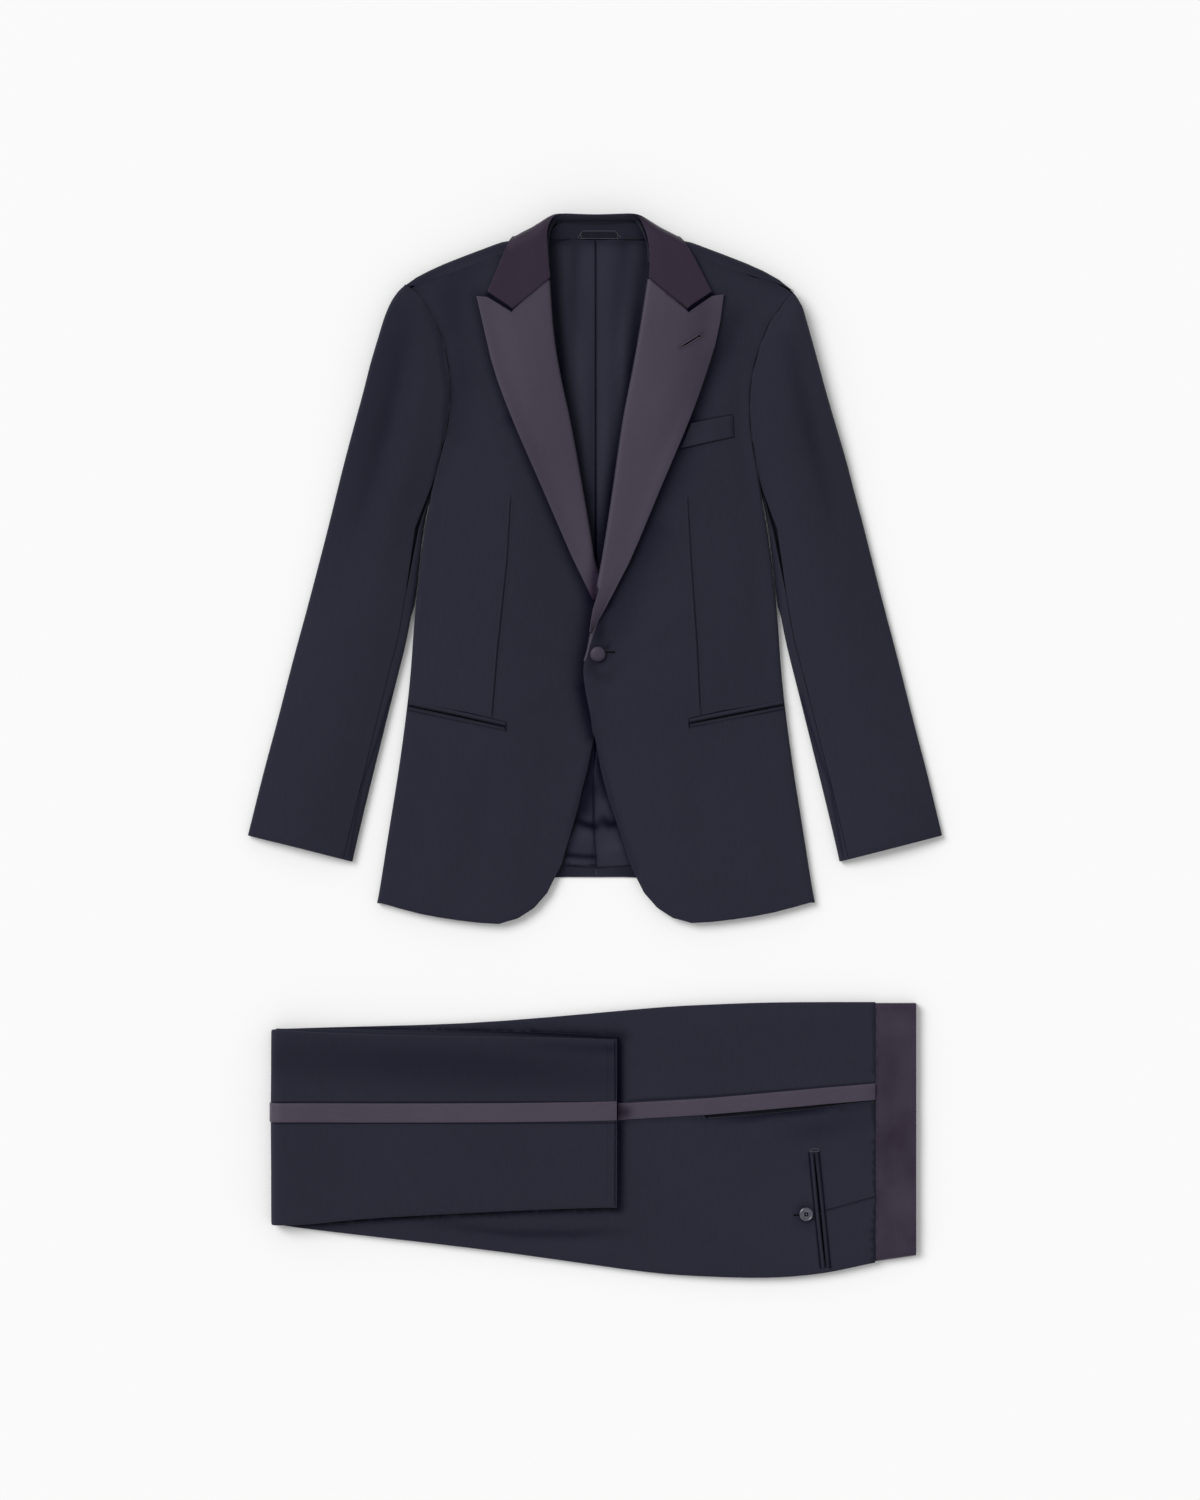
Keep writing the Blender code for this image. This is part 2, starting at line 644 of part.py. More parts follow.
def lay_on_front(name, corners, across, up, which, side, material):
    """A small flat piece whose corners lie on a front: top left, top right, then below."""
    a, b, c, d = corners
    grid = patch(along([d, c], across), along([a, b], across), along([d, a], up), along([c, b], up))
    rows = [[(x, y, front_top(x, y, which) + SEAM_GAP + RIBBON) for x, y in line] for line in grid]
    cloth(name, rows, RIBBON, material, JACKET_AT, side)


def make_jets(name, pocket, height_of, side, material, place):
    """Both jets of a pocket as one strip with the slit sunk along its middle."""
    rings, stations = [], 8
    for k in range(stations):
        upper, slit, lower = (mix(a, b, k / (stations - 1)) for a, b in zip(*pocket))
        share = JET["half"] / math.dist(upper, lower)
        spots = ((upper, 0), (slit, 0), (lower, 0), (lower, 1), (mix(slit, lower, 2 * share), 1))
        spots += ((slit, 1 - JET["groove"] / JET["thick"]), (mix(slit, upper, 2 * share), 1), (upper, 1))
        ring = []
        for (x, y), rise in spots:
            z = height_of(x, y) + SEAM_GAP + 0.1 + JET["thick"] * rise
            ring.append((side * x, y, z))
        rings.append(ring)
    loft(name, rings, material, place)


def make_jacket(materials):
    fronts = (("left", "over", 1), ("right", "under", -1))
    for word, which, side in fronts:
        make_back("back_" + word, side, materials)
        make_lining("back_lining_" + word, side, materials)
        make_front("front_" + word, which, side, materials)
        make_sleeve("sleeve_" + word, side, materials)
        make_lapel("lapel_" + word, which, side, materials)
        make_jets("hip_jets_" + word, HIP_POCKET, partial(front_top, which=which), side, materials["wool"], JACKET_AT)
    lay_on_front("chest_welt", CHEST_WELT, 5, 3, "over", 1, materials["wool"])
    make_neck(materials)
    make_collar(materials)
    radius, height = JACKET_BUTTON["radius"], JACKET_BUTTON["height"]
    dome = [(0, 0), (radius * 0.8, 0), (radius, height * 0.3), (radius * 0.96, height * 0.6)]
    dome += [(radius * 0.75, height * 0.86), (radius * 0.4, height * 0.98), (0, height)]
    base = front_top(*JACKET_BUTTON["at"], "over") + 3 * SEAM_GAP
    turned("front_button", dome[::-1], 20, materials["satin"], JACKET_AT, JACKET_BUTTON["at"], base)


# Trousers

def ply_at(x):
    return PLY + (SEAT_PLY - PLY) * ease((x - 400) / 120)


def leg_path(inner):
    """Stations from the waist along the table, round the fold and back over to the hem, as
    (x, z, direction of the outer face as an angle, which run it is on)."""
    fold_x = FOLD_INNER + 2 * PLY + LEG_GAP
    centre_z = PLY + LEG_GAP + PLY + FOLD_INNER
    radius = FOLD_INNER + PLY / 2 if inner else FOLD_INNER + 1.5 * PLY + LEG_GAP
    stations = []
    for x in (663.6, 634, 612, 568, 524, 478, 468, 436, 392, 304, 216, 120, 50, fold_x):
        ply = ply_at(x)
        stations.append((x, ply * 1.5 + LEG_GAP if inner else ply / 2, -math.pi / 2, "table"))
    for k in range(1, 6):
        angle = -math.pi / 2 - math.pi * k / 6
        stations.append((fold_x + radius * math.cos(angle), centre_z + radius * math.sin(angle), angle, "fold"))
    drop = 2 * (FOLD_INNER) - LEG_GAP
    for x in (fold_x, 40, 70, 110, 184, 262, 339, HEM_X):
        z = centre_z + radius - drop * ease((x - fold_x) / FOLD_EASE)
        stations.append((x, z, -1.5 * math.pi, "over"))
    return stations


def leg_edges(x, run, inner):
    """The crease, both sides of the side seam, and the other crease at this station."""
    if run == "table":
        row = look_up(UPPER_LEG, x)
        inset = 0 if inner else 1.2
        return row.crease - inset, row.seam, row.pocket if inner else row.seam - SEAM_GAP, row.seat + inset
    row = look_up(LOWER_LEG, max(x, 0))
    if inner:
        return row.under_crease, row.seam, row.seam - SEAM_GAP, row.under_seat
    return row.crease, row.seam, row.seam - SEAM_GAP, row.seat


def leg_ring(x, z, angle, ply, seam, crease):
    """One station of half a leg: square at the side seam, rounded at the crease."""
    toward = 1 if crease > seam else -1
    half = ply / 2
    round_at = crease - toward * CREASE_ROUND
    flat = [(seam, -half), (seam + toward * 14, -half), ((seam + round_at) / 2, -half), (round_at, -half)]
    turn = [math.pi * k / 5 for k in range(1, 5)]
    fold = [(round_at + toward * CREASE_ROUND * math.sin(a), -half * math.cos(a)) for a in turn]
    back = [(y, half) for y, _ in reversed(flat)]
    across, up = math.cos(angle), math.sin(angle)
    return [(x + across * n, y, z + up * n) for y, n in flat + fold + back]


def make_leg(word, inner, materials):
    front, back = [], []
    for x, z, angle, run in leg_path(inner):
        crease, front_seam, back_seam, seat = leg_edges(x, run, inner)
        ply = ply_at(x) if run == "table" else PLY
        front.append(leg_ring(x, z, angle, ply, front_seam, crease))
        back.append(leg_ring(x, z, angle, ply, back_seam, seat))
    loft(f"leg_{word}_front", front, materials["wool"], TROUSERS_AT)
    loft(f"leg_{word}_back", back, materials["wool"], TROUSERS_AT)


def stripe_ring(x, z, angle, low, high, out):
    """A flat ribbon's section, its inner face at this distance from the leg's middle."""
    across, up = math.cos(angle), math.sin(angle)
    corners = ((low, out), (high, out), (high, out + RIBBON), (low, out + RIBBON))
    return [(x + across * n, y, z + up * n) for y, n in corners]


def make_stripes(materials):
    left, right = [], []
    for x, z, _, run in leg_path(inner=True):
        if run == "table" and x >= 392:
            seam, out = look_up(UPPER_LEG, x).seam, ply_at(x) / 2 + LEG_GAP
            left.append(stripe_ring(x, z, math.pi / 2, seam - 8.6, seam + 9.4, out))
    foot = HEM_X + 1.2
    seam = look_up(UPPER_LEG, foot).seam
    left.append(stripe_ring(foot, PLY * 1.5 + LEG_GAP, math.pi / 2, seam - 9.6, seam + 9.4, PLY / 2 + LEG_GAP))
    for x, z, angle, run in leg_path(inner=False):
        if run != "table" and z > PLY + 1:
            seam = look_up(LOWER_LEG, max(x, 0)).seam
            right.append(stripe_ring(x, z, angle, seam - STRIPE_HALF, seam + STRIPE_HALF, PLY / 2 + LEG_GAP))
    loft("stripe_left", left, materials["satin"], TROUSERS_AT)
    loft("stripe_right", right, materials["satin"], TROUSERS_AT)


def make_waistband(materials):
    """A band sewn into one at the seat and open at the front, one half pressed on the other."""
    band, ply = WAISTBAND, WAISTBAND["ply"]
    height = 2 * ply + LEG_GAP
    rings = []
    for x, seat in ((WAIST_SEAM_X + SEAM_GAP, band["seat"][0]), (band["right"], band["seat"][1])):
        front, low, high = band["front"], ply, ply + LEG_GAP
        half = [(front - 2.4, 0), (front - 0.6, ply * 0.2), (front, ply * 0.5), (front - 0.6, ply * 0.8)]
        half += [(front - 2.4, low), (150, low)]
        ring = [(seat + 5, 0), (150, 0), *half, (seat + 8, low)]
        ring += [(y, height - z) for y, z in reversed(ring)]
        ring += [(seat + 1.4, height * 0.86), (seat, height / 2), (seat + 1.4, height * 0.14)]
        rings.append([(x, y, z) for y, z in ring])
    loft("waistband", rings, materials["satin"], TROUSERS_AT)


def make_back_pocket(materials):
    """The pocket's jets across the seat, and the button beside them."""
    top = 2 * SEAT_PLY + LEG_GAP
    make_jets("back_jets", BACK_POCKET, lambda x, y: top, 1, materials["wool"], TROUSERS_AT)
    radius, height = TROUSER_BUTTON["radius"], TROUSER_BUTTON["height"]
    profile = [(0, 0), (radius * 0.7, 0), (radius, height * 0.45), (radius * 0.96, height * 0.85)]
    profile += [(radius * 0.82, height), (radius * 0.66, height * 0.8), (0, height * 0.75)]
    turned("back_pocket_button", profile[::-1], 20, materials["button"], TROUSERS_AT, TROUSER_BUTTON["at"], top + SEAM_GAP)


def make_trousers(materials):
    make_leg("right", False, materials)
    make_leg("left", True, materials)
    make_stripes(materials)
    make_waistband(materials)
    make_back_pocket(materials)


def main():
    clear_scene()
    collection = bpy.data.collections.new("Dinner suit")
    bpy.context.scene.collection.children.link(collection)
    materials = {name: make_material(name) for name in COLOURS}
    make_jacket(materials)
    make_trousers(materials)


main()
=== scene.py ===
# A dinner suit laid out flat and face up: finishes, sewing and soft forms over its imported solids.
import json
import math

import bmesh
import bpy
import numpy as np
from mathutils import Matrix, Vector

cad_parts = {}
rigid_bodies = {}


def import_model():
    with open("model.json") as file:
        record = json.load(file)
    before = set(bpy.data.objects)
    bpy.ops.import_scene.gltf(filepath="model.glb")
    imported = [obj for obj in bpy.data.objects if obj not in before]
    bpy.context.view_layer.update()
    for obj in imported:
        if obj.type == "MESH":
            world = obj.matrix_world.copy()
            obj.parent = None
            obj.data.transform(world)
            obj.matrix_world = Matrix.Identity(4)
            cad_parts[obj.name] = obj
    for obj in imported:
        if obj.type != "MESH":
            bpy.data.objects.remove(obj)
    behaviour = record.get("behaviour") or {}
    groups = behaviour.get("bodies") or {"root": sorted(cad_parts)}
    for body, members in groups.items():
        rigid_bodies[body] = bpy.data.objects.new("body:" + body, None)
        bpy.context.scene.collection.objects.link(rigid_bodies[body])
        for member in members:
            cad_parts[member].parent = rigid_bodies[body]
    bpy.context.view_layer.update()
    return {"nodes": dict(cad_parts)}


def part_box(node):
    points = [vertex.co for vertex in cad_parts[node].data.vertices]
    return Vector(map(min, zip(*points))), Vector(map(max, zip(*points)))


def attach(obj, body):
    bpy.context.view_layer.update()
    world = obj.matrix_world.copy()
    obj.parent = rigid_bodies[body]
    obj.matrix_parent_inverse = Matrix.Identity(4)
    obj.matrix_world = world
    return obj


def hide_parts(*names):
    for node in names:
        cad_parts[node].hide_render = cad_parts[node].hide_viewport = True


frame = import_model()
nodes = frame["nodes"]
mm = 0.001
jacketAt = (0.0, -197.85)  # jacket measures start at its centre line and its front hem
trousersAt = (-355.5, -587.05)  # trouser measures start at the fold and the lowest of the seat
suit = bpy.data.collections.new("suit")
bpy.context.scene.collection.children.link(suit)


# Shader groups that several cloths share

def newGroup(name, inputs, outputs):
    tree = bpy.data.node_groups.new(name, "ShaderNodeTree")
    for label, kind, value in inputs:
        socket = tree.interface.new_socket(name=label, in_out="INPUT", socket_type=kind)
        if value is not None:
            socket.default_value = value
    for label, kind in outputs:
        tree.interface.new_socket(name=label, in_out="OUTPUT", socket_type=kind)
    return tree, tree.nodes.new("NodeGroupInput"), tree.nodes.new("NodeGroupOutput")


def mathNode(tree, operation, first, second=None):
    node = tree.nodes.new("ShaderNodeMath")
    node.operation = operation
    for socket, value in zip(node.inputs, (first, second)):
        if isinstance(value, (int, float)):
            socket.default_value = value
        elif value is not None:
            tree.links.new(value, socket)
    return node.outputs[0]


def makeWeaveGroup():
    # two thread families crossing, offset each row so that a diagonal shows when twill is high
    tree, start, end = newGroup(
        "crossedThreads",
        (
            ("Vector", "NodeSocketVector", None),
            ("Threads per metre", "NodeSocketFloat", 1800.0),
            ("Twill", "NodeSocketFloat", 0.5),
            ("Ribs", "NodeSocketFloat", 0.0),
        ),
        (("Height", "NodeSocketFloat"),),
    )
    split = tree.nodes.new("ShaderNodeSeparateXYZ")
    tree.links.new(start.outputs["Vector"], split.inputs[0])
    turns = mathNode(tree, "MULTIPLY", start.outputs["Threads per metre"], 2 * math.pi)
    across = mathNode(tree, "MULTIPLY", split.outputs["X"], turns)
    along = mathNode(tree, "MULTIPLY", split.outputs["Y"], turns)
    plain = mathNode(tree, "MULTIPLY", mathNode(tree, "SINE", across), mathNode(tree, "SINE", along))
    halfAcross = mathNode(tree, "MULTIPLY", across, 0.5)
    halfAlong = mathNode(tree, "MULTIPLY", along, 0.5)
    diagonal = mathNode(tree, "SINE", mathNode(tree, "ADD", halfAcross, halfAlong))
    twilled = mathNode(tree, "MULTIPLY", diagonal, start.outputs["Twill"])
    ribbed = mathNode(tree, "MULTIPLY", mathNode(tree, "SINE", across), start.outputs["Ribs"])
    rest = mathNode(tree, "MULTIPLY", plain, 0.5)
    total = mathNode(tree, "ADD", mathNode(tree, "ADD", rest, twilled), ribbed)
    tree.links.new(total, end.inputs["Height"])
    return tree


def makeToneGroup():
    # uneven dye and pressing: slow drifts of tone, fine slubs along one thread, and loose fibre; and painted shade, a
    # dark colour multiplied in along creases, edges and seams
    tree, start, end = newGroup(
        "clothTone",
        (
            ("Vector", "NodeSocketVector", None),
            ("Colour", "NodeSocketColor", (0.02, 0.02, 0.03, 1)),
            ("Second colour", "NodeSocketColor", (0.03, 0.03, 0.04, 1)),
            ("Drift", "NodeSocketFloat", 0.3),
            ("Thread", "NodeSocketFloat", 0.5),
            ("Drift size", "NodeSocketFloat", 6.0),
            # how much painted shade falls here, and the dark colour it multiplies in
            ("Painted shade", "NodeSocketFloat", 0.0),
            ("Painted shade colour", "NodeSocketColor", (0.06, 0.05, 0.25, 1)),
            ("Smoothest", "NodeSocketFloat", 0.4),
            ("Roughest", "NodeSocketFloat", 0.6),
        ),
        (("Colour", "NodeSocketColor"), ("Roughness", "NodeSocketFloat")),
    )
    slow = tree.nodes.new("ShaderNodeTexNoise")
    slow.inputs["Detail"].default_value = 2.0
    tree.links.new(start.outputs["Vector"], slow.inputs["Vector"])
    tree.links.new(start.outputs["Drift size"], slow.inputs["Scale"])
    stretch = tree.nodes.new("ShaderNodeMapping")
    stretch.inputs["Scale"].default_value = (900, 60, 900)
    tree.links.new(start.outputs["Vector"], stretch.inputs["Vector"])
    slub = tree.nodes.new("ShaderNodeTexNoise")
    slub.inputs["Scale"].default_value = 1.0
    slub.inputs["Detail"].default_value = 3.0
    tree.links.new(stretch.outputs[0], slub.inputs["Vector"])
    driftPart = mathNode(tree, "MULTIPLY", mathNode(tree, "SUBTRACT", slow.outputs["Fac"], 0.5), start.outputs["Drift"])
    threadPart = mathNode(tree, "MULTIPLY", mathNode(tree, "SUBTRACT", slub.outputs["Fac"], 0.5),
        start.outputs["Thread"])
    total = mathNode(tree, "ADD", mathNode(tree, "ADD", driftPart, threadPart), 0.5)
    blend = tree.nodes.new("ShaderNodeMix")
    blend.data_type = "RGBA"
    blend.clamp_factor = True
    tree.links.new(total, blend.inputs["Factor"])
    tree.links.new(start.outputs["Colour"], blend.inputs["A"])
    tree.links.new(start.outputs["Second colour"], blend.inputs["B"])
    sunk = tree.nodes.new("ShaderNodeMix")  # painted shade: darkens the cloth's colour by multiplying in a dark colour where the per-point shade attribute asks
    sunk.data_type = "RGBA"
    sunk.blend_type = "MULTIPLY"
    tree.links.new(start.outputs["Painted shade colour"], sunk.inputs["B"])
    tree.links.new(start.outputs["Painted shade"], sunk.inputs["Factor"])
    tree.links.new(blend.outputs["Result"], sunk.inputs["A"])
    tree.links.new(sunk.outputs["Result"], end.inputs["Colour"])
    gloss = tree.nodes.new("ShaderNodeMapRange")
    tree.links.new(slow.outputs["Fac"], gloss.inputs["Value"])
    tree.links.new(start.outputs["Smoothest"], gloss.inputs["To Min"])
    tree.links.new(start.outputs["Roughest"], gloss.inputs["To Max"])
    tree.links.new(gloss.outputs[0], end.inputs["Roughness"])
    return tree


crossedThreads = makeWeaveGroup()
clothTone = makeToneGroup()

satinWeave = {
    "threads": 2600, "twill": 0.1, "ribs": 0.35, "relief": 0.16, "depth": 0.00012, "fuzz": 0.05, "turn": 0,
    # painted shade: the dark colour multiplied into the satins where the shade attribute asks
    "paintedShade": (0.2, 0.06, 0.26),
}
threadTwist = {
    "drift": 0.3, "thread": 1.0, "driftSize": 60.0, "threads": 6000, "twill": 0.9, "ribs": 0.0, "relief": 0.35,
    "depth": 0.00008, "fuzz": 0.1, "turn": 35, "roughDrift": 0.05,
}
finishes = {
    # deep and light tones, how far they drift and how large; threads a metre and their relief; gloss and fuzz; for
    # some, the colour that painted shade multiplies in
    "darkWool": {
        "deep": (0.0178, 0.0182, 0.0306), "light": (0.0256, 0.0256, 0.0410), "drift": 0.7, "thread": 0.9,
        "driftSize": 5.0, "threads": 1700, "twill": 0.55, "ribs": 0.0, "relief": 0.28, "depth": 0.00022,
        "rough": 0.78, "shine": 0.05, "fuzz": 0.06, "turn": 0, "roughDrift": 0.08,
    },
    # partly painted sheen: the lapel satin's slow drift of tone stands both for uneven dye and for sheen shifting over
    # the satin
    "lapelSatin": {
        **satinWeave, "deep": (0.0440, 0.0350, 0.0565), "light": (0.0585, 0.0480, 0.0740), "drift": 0.9,
        "thread": 0.7, "driftSize": 7.0, "rough": 0.46, "shine": 0.18, "roughDrift": 0.1,
    },
    "collarSatin": {
        **satinWeave, "deep": (0.0215, 0.0135, 0.0275), "light": (0.0285, 0.0185, 0.0350), "drift": 0.8,
        "thread": 0.7, "driftSize": 9.0, "rough": 0.52, "shine": 0.15, "roughDrift": 0.1,
    },
    # partly painted sheen: the waistband's strong slow drift of tone stands both for uneven dye and for sheen where the
    # satin undulates
    "waistbandSatin": {
        **satinWeave, "deep": (0.0255, 0.0160, 0.0330), "light": (0.0415, 0.0315, 0.0530), "drift": 1.9,
        "thread": 0.6, "driftSize": 22.0, "rough": 0.44, "shine": 0.18, "roughDrift": 0.16,
    },
    "stripeSatin": {
        "deep": (0.0490, 0.0390, 0.0610), "light": (0.0660, 0.0540, 0.0790), "drift": 0.8, "thread": 0.9,
        "driftSize": 10.0, "threads": 2400, "twill": 0.0, "ribs": 0.6, "relief": 0.22, "depth": 0.00014,
        "rough": 0.42, "shine": 0.2, "fuzz": 0.05, "turn": 90, "roughDrift": 0.08, "paintedShade": (0.2, 0.06, 0.26),
    },
    "bodyLining": {
        "paintedShade": (0.015, 0.01, 0.19), "deep": (0.0205, 0.0210, 0.0350), "light": (0.0300, 0.0305, 0.0490),
        "drift": 0.9, "thread": 0.5, "driftSize": 9.0, "threads": 2800, "twill": 0.7, "ribs": 0.0, "relief": 0.2,
        "depth": 0.00012, "rough": 0.4, "shine": 0.08, "fuzz": 0.0, "turn": 0, "roughDrift": 0.08,
    },
    "labelSatin": {
        "deep": (0.0110, 0.0112, 0.0200), "light": (0.0160, 0.0160, 0.0270), "drift": 0.4, "thread": 0.8,
        "driftSize": 20.0, "threads": 3200, "twill": 0.0, "ribs": 0.5, "relief": 0.2, "depth": 0.0001,
        "rough": 0.38, "shine": 0.08, "fuzz": 0.0, "turn": 90, "roughDrift": 0.05,
    },
    "sewingThread": {
        **threadTwist, "deep": (0.0110, 0.0110, 0.0180), "light": (0.0200, 0.0200, 0.0310), "rough": 0.55,
        "shine": 0.15,
    },
    "labelThread": {
        **threadTwist, "deep": (0.06, 0.0610, 0.0800), "light": (0.0900, 0.0910, 0.1150), "rough": 0.45,
        "shine": 0.4,
    },
    # painted shade: near-black, for the sheets laid in slits, pocket mouths and button holes
    "openShade": {
        "deep": (0.0006, 0.0006, 0.0016), "light": (0.0014, 0.0014, 0.0032), "drift": 0.3, "thread": 0.6,
        "driftSize": 30.0, "threads": 1700, "twill": 0.5, "ribs": 0.0, "relief": 0.2, "depth": 0.0001,
        "rough": 0.9, "shine": 0.01, "fuzz": 0.0, "turn": 0, "roughDrift": 0.05,
    },
    "satinThread": {
        **threadTwist, "deep": (0.0420, 0.0330, 0.0550), "light": (0.0620, 0.0500, 0.0780), "rough": 0.45,
        "shine": 0.4,
    },
}


def clothMaterial(name):
    look = finishes[name]
    material = bpy.data.materials.new(name)
    material.use_nodes = True
    tree = material.node_tree
    shader = tree.nodes["Principled BSDF"]
    place = tree.nodes.new("ShaderNodeTexCoord")
    turn = tree.nodes.new("ShaderNodeMapping")
    turn.inputs["Rotation"].default_value = (0, 0, math.radians(look["turn"]))
    tree.links.new(place.outputs["Object"], turn.inputs["Vector"])
    weave = tree.nodes.new("ShaderNodeGroup")
    weave.node_tree = crossedThreads
    weave.inputs["Threads per metre"].default_value = look["threads"]
    weave.inputs["Twill"].default_value = look["twill"]
    weave.inputs["Ribs"].default_value = look["ribs"]
    tone = tree.nodes.new("ShaderNodeGroup")
    tone.node_tree = clothTone
    tone.inputs["Colour"].default_value = (*look["deep"], 1)
    tone.inputs["Second colour"].default_value = (*look["light"], 1)
    tone.inputs["Drift"].default_value = look["drift"]
    tone.inputs["Thread"].default_value = look["thread"]
    tone.inputs["Drift size"].default_value = look["driftSize"]
    # painted shade: the dark colour multiplied in where the per-point shade attribute asks
    tone.inputs["Painted shade colour"].default_value = (*look.get("paintedShade", (0.06, 0.05, 0.25)), 1)
    tone.inputs["Smoothest"].default_value = look["rough"] - look["roughDrift"]
    tone.inputs["Roughest"].default_value = look["rough"] + look["roughDrift"]
    for group in (weave, tone):
        tree.links.new(turn.outputs[0], group.inputs["Vector"])
    # painted shade: the per-point attribute that says how much the colour is darkened
    depth = tree.nodes.new("ShaderNodeAttribute")
    depth.attribute_name = "paintedShade"
    tree.links.new(depth.outputs["Fac"], tone.inputs["Painted shade"])
    bump = tree.nodes.new("ShaderNodeBump")
    bump.inputs["Strength"].default_value = look["relief"]
    bump.inputs["Distance"].default_value = look["depth"]
    tree.links.new(weave.outputs["Height"], bump.inputs["Height"])
    tree.links.new(bump.outputs["Normal"], shader.inputs["Normal"])
    tree.links.new(tone.outputs["Colour"], shader.inputs["Base Color"])
    tree.links.new(tone.outputs["Roughness"], shader.inputs["Roughness"])
    shader.inputs["Specular IOR Level"].default_value = look["shine"]
    shader.inputs["Sheen Weight"].default_value = look["fuzz"]
    shader.inputs["Sheen Roughness"].default_value = 0.5
    return material


def buttonMaterial():
    material = bpy.data.materials.new("polishedButton")
    material.use_nodes = True
    tree = material.node_tree
    shader = tree.nodes["Principled BSDF"]
    place = tree.nodes.new("ShaderNodeTexCoord")
    swirl = tree.nodes.new("ShaderNodeTexNoise")
    swirl.inputs["Scale"].default_value = 260
    swirl.inputs["Detail"].default_value = 4
    swirl.inputs["Distortion"].default_value = 1.4
    tree.links.new(place.outputs["Object"], swirl.inputs["Vector"])
    shades = tree.nodes.new("ShaderNodeValToRGB")
    shades.color_ramp.elements[0].position = 0.35
    shades.color_ramp.elements[0].color = (0.026, 0.026, 0.038, 1)
    shades.color_ramp.elements[1].position = 0.70
    shades.color_ramp.elements[1].color = (0.098, 0.098, 0.132, 1)
    tree.links.new(swirl.outputs["Fac"], shades.inputs["Fac"])
    tree.links.new(shades.outputs["Color"], shader.inputs["Base Color"])
    scuffs = tree.nodes.new("ShaderNodeTexNoise")
    scuffs.inputs["Scale"].default_value = 900
    tree.links.new(place.outputs["Object"], scuffs.inputs["Vector"])
    gloss = tree.nodes.new("ShaderNodeMapRange")
    gloss.inputs["To Min"].default_value = 0.16
    gloss.inputs["To Max"].default_value = 0.34
    tree.links.new(scuffs.outputs["Fac"], gloss.inputs["Value"])
    tree.links.new(gloss.outputs[0], shader.inputs["Roughness"])
    shader.inputs["Coat Weight"].default_value = 0.4
    return material


materials = {name: clothMaterial(name) for name in finishes}
materials["polishedButton"] = buttonMaterial()
print("finishes ready:", len(materials))


# Ways of working that several pieces share

def onlyThis(piece):
    if bpy.context.mode != "OBJECT":
        bpy.ops.object.mode_set(mode="OBJECT")
    bpy.ops.object.select_all(action="DESELECT")
    piece.select_set(True)
    bpy.context.view_layer.objects.active = piece


def applied(piece):
    onlyThis(piece)
    for modifier in list(piece.modifiers):
        bpy.ops.object.modifier_apply(modifier=modifier.name)
    return piece


def softened(nodeName, pieceName, levels):
    # a copy of the solid, welded, with its cut edges held and all else rounded off
    piece = bpy.data.objects.new(pieceName, nodes[nodeName].data.copy())
    suit.objects.link(piece)
    return rounded(piece, levels)


def rounded(piece, levels):
    onlyThis(piece)
    bpy.ops.object.mode_set(mode="EDIT")
    bpy.ops.mesh.select_all(action="SELECT")
    bpy.ops.mesh.remove_doubles(threshold=1e-5)
    bpy.ops.mesh.tris_convert_to_quads(face_threshold=math.radians(40), shape_threshold=math.radians(70))
    bpy.ops.mesh.select_all(action="DESELECT")
    bpy.ops.mesh.edges_select_sharp(sharpness=math.radians(48))
    bpy.ops.transform.edge_crease(value=1)
    bpy.ops.object.mode_set(mode="OBJECT")
    if levels:
        soft = piece.modifiers.new("soft", "SUBSURF")
        soft.levels = soft.render_levels = levels
        applied(piece)
    return piece


def halve(mesh, edges):
    # a face that is left with more than four corners is cut up, so that it can be halved again
    bmesh.ops.subdivide_edges(mesh, edges=edges, cuts=1, use_grid_fill=False)
    many = [face for face in mesh.faces if len(face.verts) > 4]
    if many:
        bmesh.ops.triangulate(mesh, faces=many)


def evenOut(piece, cell):
    # halves every edge longer than the cell until none is left
    for halving in range(7):
        mesh = bmesh.new()
        mesh.from_mesh(piece.data)
        long = [edge for edge in mesh.edges if edge.calc_length() > cell * mm]
        if long:
            halve(mesh, long)
            mesh.to_mesh(piece.data)
        mesh.free()
        if not long:
            break


def points(piece):
    places = np.empty(len(piece.data.vertices) * 3, np.float32)
    piece.data.vertices.foreach_get("co", places)
    return places.reshape(-1, 3).astype(float)


def facing(piece):
    normals = np.empty(len(piece.data.vertices) * 3, np.float32)
    piece.data.vertices.foreach_get("normal", normals)
    return normals.reshape(-1, 3).astype(float)


def movePoints(piece, at, rule):
    # rule takes x, y, z in the garment's own millimetres and gives how far each point moves
    places = points(piece)
    x = places[:, 0] / mm - at[0]
    y = places[:, 1] / mm - at[1]
    moves = rule(x, y, places[:, 2] / mm)
    for axis, move in enumerate(moves):
        places[:, axis] += move * mm
    places[:, 2] = np.maximum(places[:, 2], 0)
    piece.data.vertices.foreach_set("co", places.astype(np.float32).ravel())
    piece.data.update()


def easeTo(t):
    t = np.clip(t, 0, 1)
    return t * t * (3 - 2 * t)


def nearestOn(x, y, path):
    # distance to a line of straight runs, how far along it the nearest point lies, and the way to it
    lengths = [math.dist(a, b) for a, b in zip(path, path[1:])]
    whole, walked = sum(lengths), 0.0
    nearest = np.full(x.shape, 1e9)
    place, toX, toY = np.zeros((3,) + x.shape)
    for (ax, ay), (bx, by), length in zip(path, path[1:], lengths):
        t = np.clip(((x - ax) * (bx - ax) + (y - ay) * (by - ay)) / length ** 2, 0, 1)
        goX, goY = ax + t * (bx - ax) - x, ay + t * (by - ay) - y
        apart = np.hypot(goX, goY)
        closer = apart < nearest
        nearest = np.where(closer, apart, nearest)
        place = np.where(closer, (walked + t * length) / whole, place)
        toX, toY = np.where(closer, goX, toX), np.where(closer, goY, toY)
        walked += length
    return nearest, place, toX, toY


